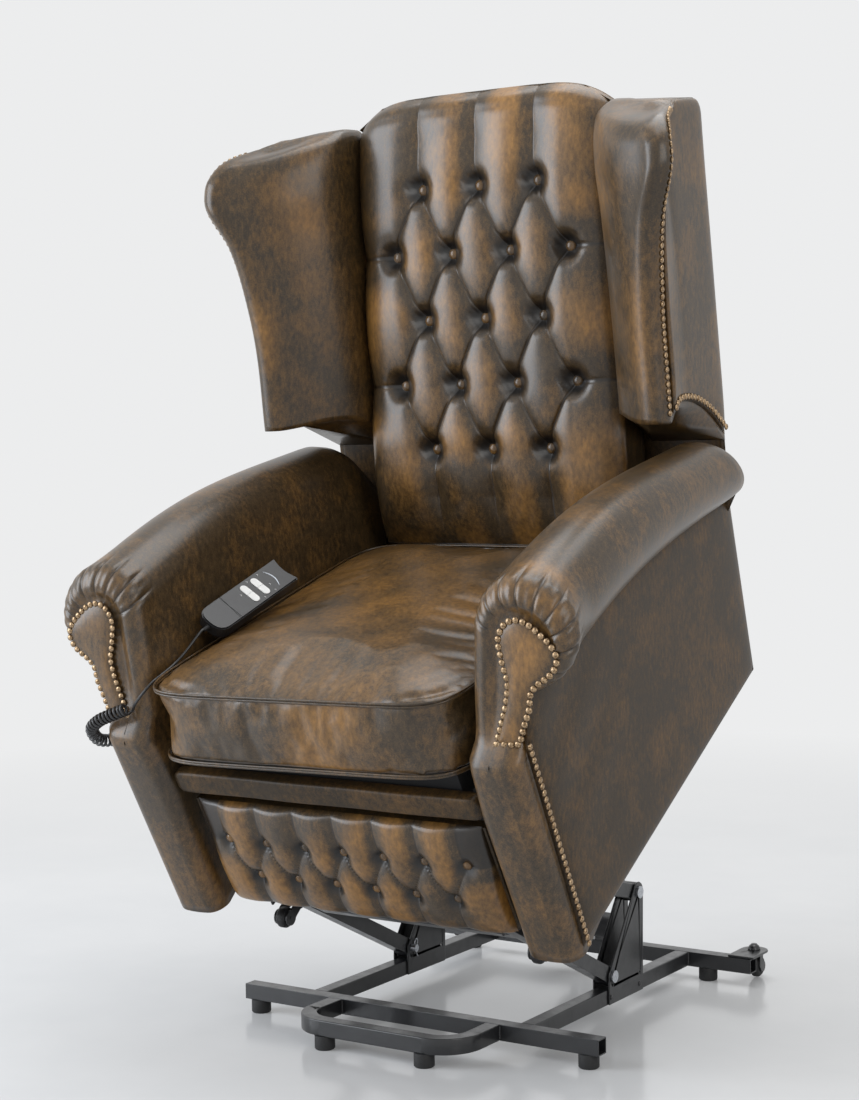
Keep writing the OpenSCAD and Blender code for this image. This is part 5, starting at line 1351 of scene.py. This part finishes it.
def bead(name, x, y):
    """A rippled weld bead that stands upright at a place."""
    steps = np.linspace(0, 1, ripples * 6 + 1)[:, None]
    turn = np.linspace(0, 2 * math.pi, 9)
    taper = np.minimum(1, 12 * np.minimum(steps, 1 - steps) + 0.05)
    swell = bead_r * (0.78 + 0.22 * np.abs(np.sin(math.pi * ripples * steps))) * taper
    high = bead_low + (bead_high - bead_low) * steps
    rings = upright(x + swell * np.cos(turn), y + swell * np.sin(turn), high)
    return shaped_grid(name, rings, world_mm)


bead_places = (
    (160, -150), (135, -150.3), (208, -124.7), (183, -124.7), (208, 404.7), (183, 404.7),
)
for i, (x, y) in enumerate(bead_places):
    for side, sign in sides:
        weld = bead(f"weld_bead_{i + 1}_{side}", sign * x, y)
        paint(weld, powder_black)
        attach(weld, "base")


# Pin clips and rivets: each base pivot pin is held by a sprung wire clip through its inner end,
# and each outer bracket plate is riveted to its rail.
clip_bends = np.array([
    (0, -17), (0, -8), (0, 0), (0, 9), (1.5, 13), (5, 15), (8.5, 13), (9, 9),
    (6.5, 6.5), (8.8, 2), (8.6, -3), (5.8, -7.5), (6.5, -12), (9.5, -16),
])
for name, y, z in (("lower", 124, 67), ("upper", 215, 188)):
    wire = line_through(clip_bends + (y, z), 80)
    for side, sign in sides:
        path = upright(sign * 175.5, *wire.T)
        clip = welt(f"pin_clip_{name}_{side}", path, 1.1, world_mm, closed=False, sides=8)
        paint(clip, zinc_plate)
        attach(clip, "base")
rivets = domes(
    "bracket_rivets", *dome(4.5, 2.4, 14, 3),
    [(x, y, 34) for x in (-211, 211) for y in (116, 216)],
    [(sign, 0, 0) for sign in (-1, -1, 1, 1)], world_mm,
)
paint(rivets, powder_black)
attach(rivets, "base")


# Studio: a pale polished floor that runs out into a plain white room, a large soft window light
# from the left and smaller fills. Camera and mirror rays see the room at its own white.
room_white = rgb(0.84, 0.845, 0.85)
floor_finish, at, link = new_finish("pale_floor", Roughness=0.16)
veins = at.noise(1.3, 5, 0.6).between(0.40, 0.62)
link(Base_Color=veins.mixed(rgb(0.66, 0.67, 0.68), rgb(0.72, 0.725, 0.73)))


def seen_by(tree, *rays):
    """1 where a ray of one of these kinds looks."""
    path = tree.nodes.new("ShaderNodeLightPath")
    first, *others = (Wire(tree, path.outputs[f"Is {ray} Ray"]) for ray in rays)
    for other in others:
        first = first.either(other)
    return first


looked_at = seen_by(at.tree, "Camera", "Glossy")
away = at.node("VectorMath", {"operation": "LENGTH"}, {0: at}, 1).between(0.9, 3.4)
room_glow = at.node("Emission", {}, {"Color": room_white, "Strength": 1.0})
principled = Wire(at.tree, at.tree.nodes["Principled BSDF"].outputs[0])
glow_share = looked_at * (0.12 + 0.88 * away)
floor_mix = at.node("MixShader", {}, {0: glow_share, 1: principled, 2: room_glow})
at.tree.links.new(floor_mix.socket, at.tree.nodes["Material Output"].inputs["Surface"])
bpy.ops.object.select_all(action="DESELECT")
bpy.ops.mesh.primitive_plane_add(size=14, location=(0, 0, 0))
floor = bpy.context.object
floor.name = "studio_floor"
paint(floor, floor_finish)

world = bpy.data.worlds.new("studio_room")
scene.world = world
world.use_nodes = True
world_tree = world.node_tree
looked_at = seen_by(world_tree, "Camera", "Glossy", "Transmission")
room = looked_at.mixed(rgb(0.47, 0.475, 0.48), room_white)
world_tree.links.new(room.socket, world_tree.nodes["Background"].inputs["Color"])
for name, place, aim, size, power, tint in (
    ("window_light", (-2.9, -2.5, 1.9), (0, 0, 0.8), (2.6, 3.2), 135, (0.88, 0.93, 1.0)),
    ("right_fill", (3.2, -1.6, 2.0), (0, 0, 0.8), (1.4, 2.2), 28, (1.0, 0.98, 0.95)),
    ("top_light", (0.2, 0.4, 3.6), (0, 0, 0.9), (2.4, 2.4), 55, (1.0, 1.0, 1.0)),
):
    bpy.ops.object.light_add(type="AREA", location=place)
    lamp = bpy.context.object
    lamp.name = name
    lamp.data.shape = "RECTANGLE"
    lamp.data.size, lamp.data.size_y = size
    lamp.data.energy = power
    lamp.data.color = tint
    lamp.rotation_euler = (Vector(aim) - Vector(place)).to_track_quat("-Z", "Y").to_euler()
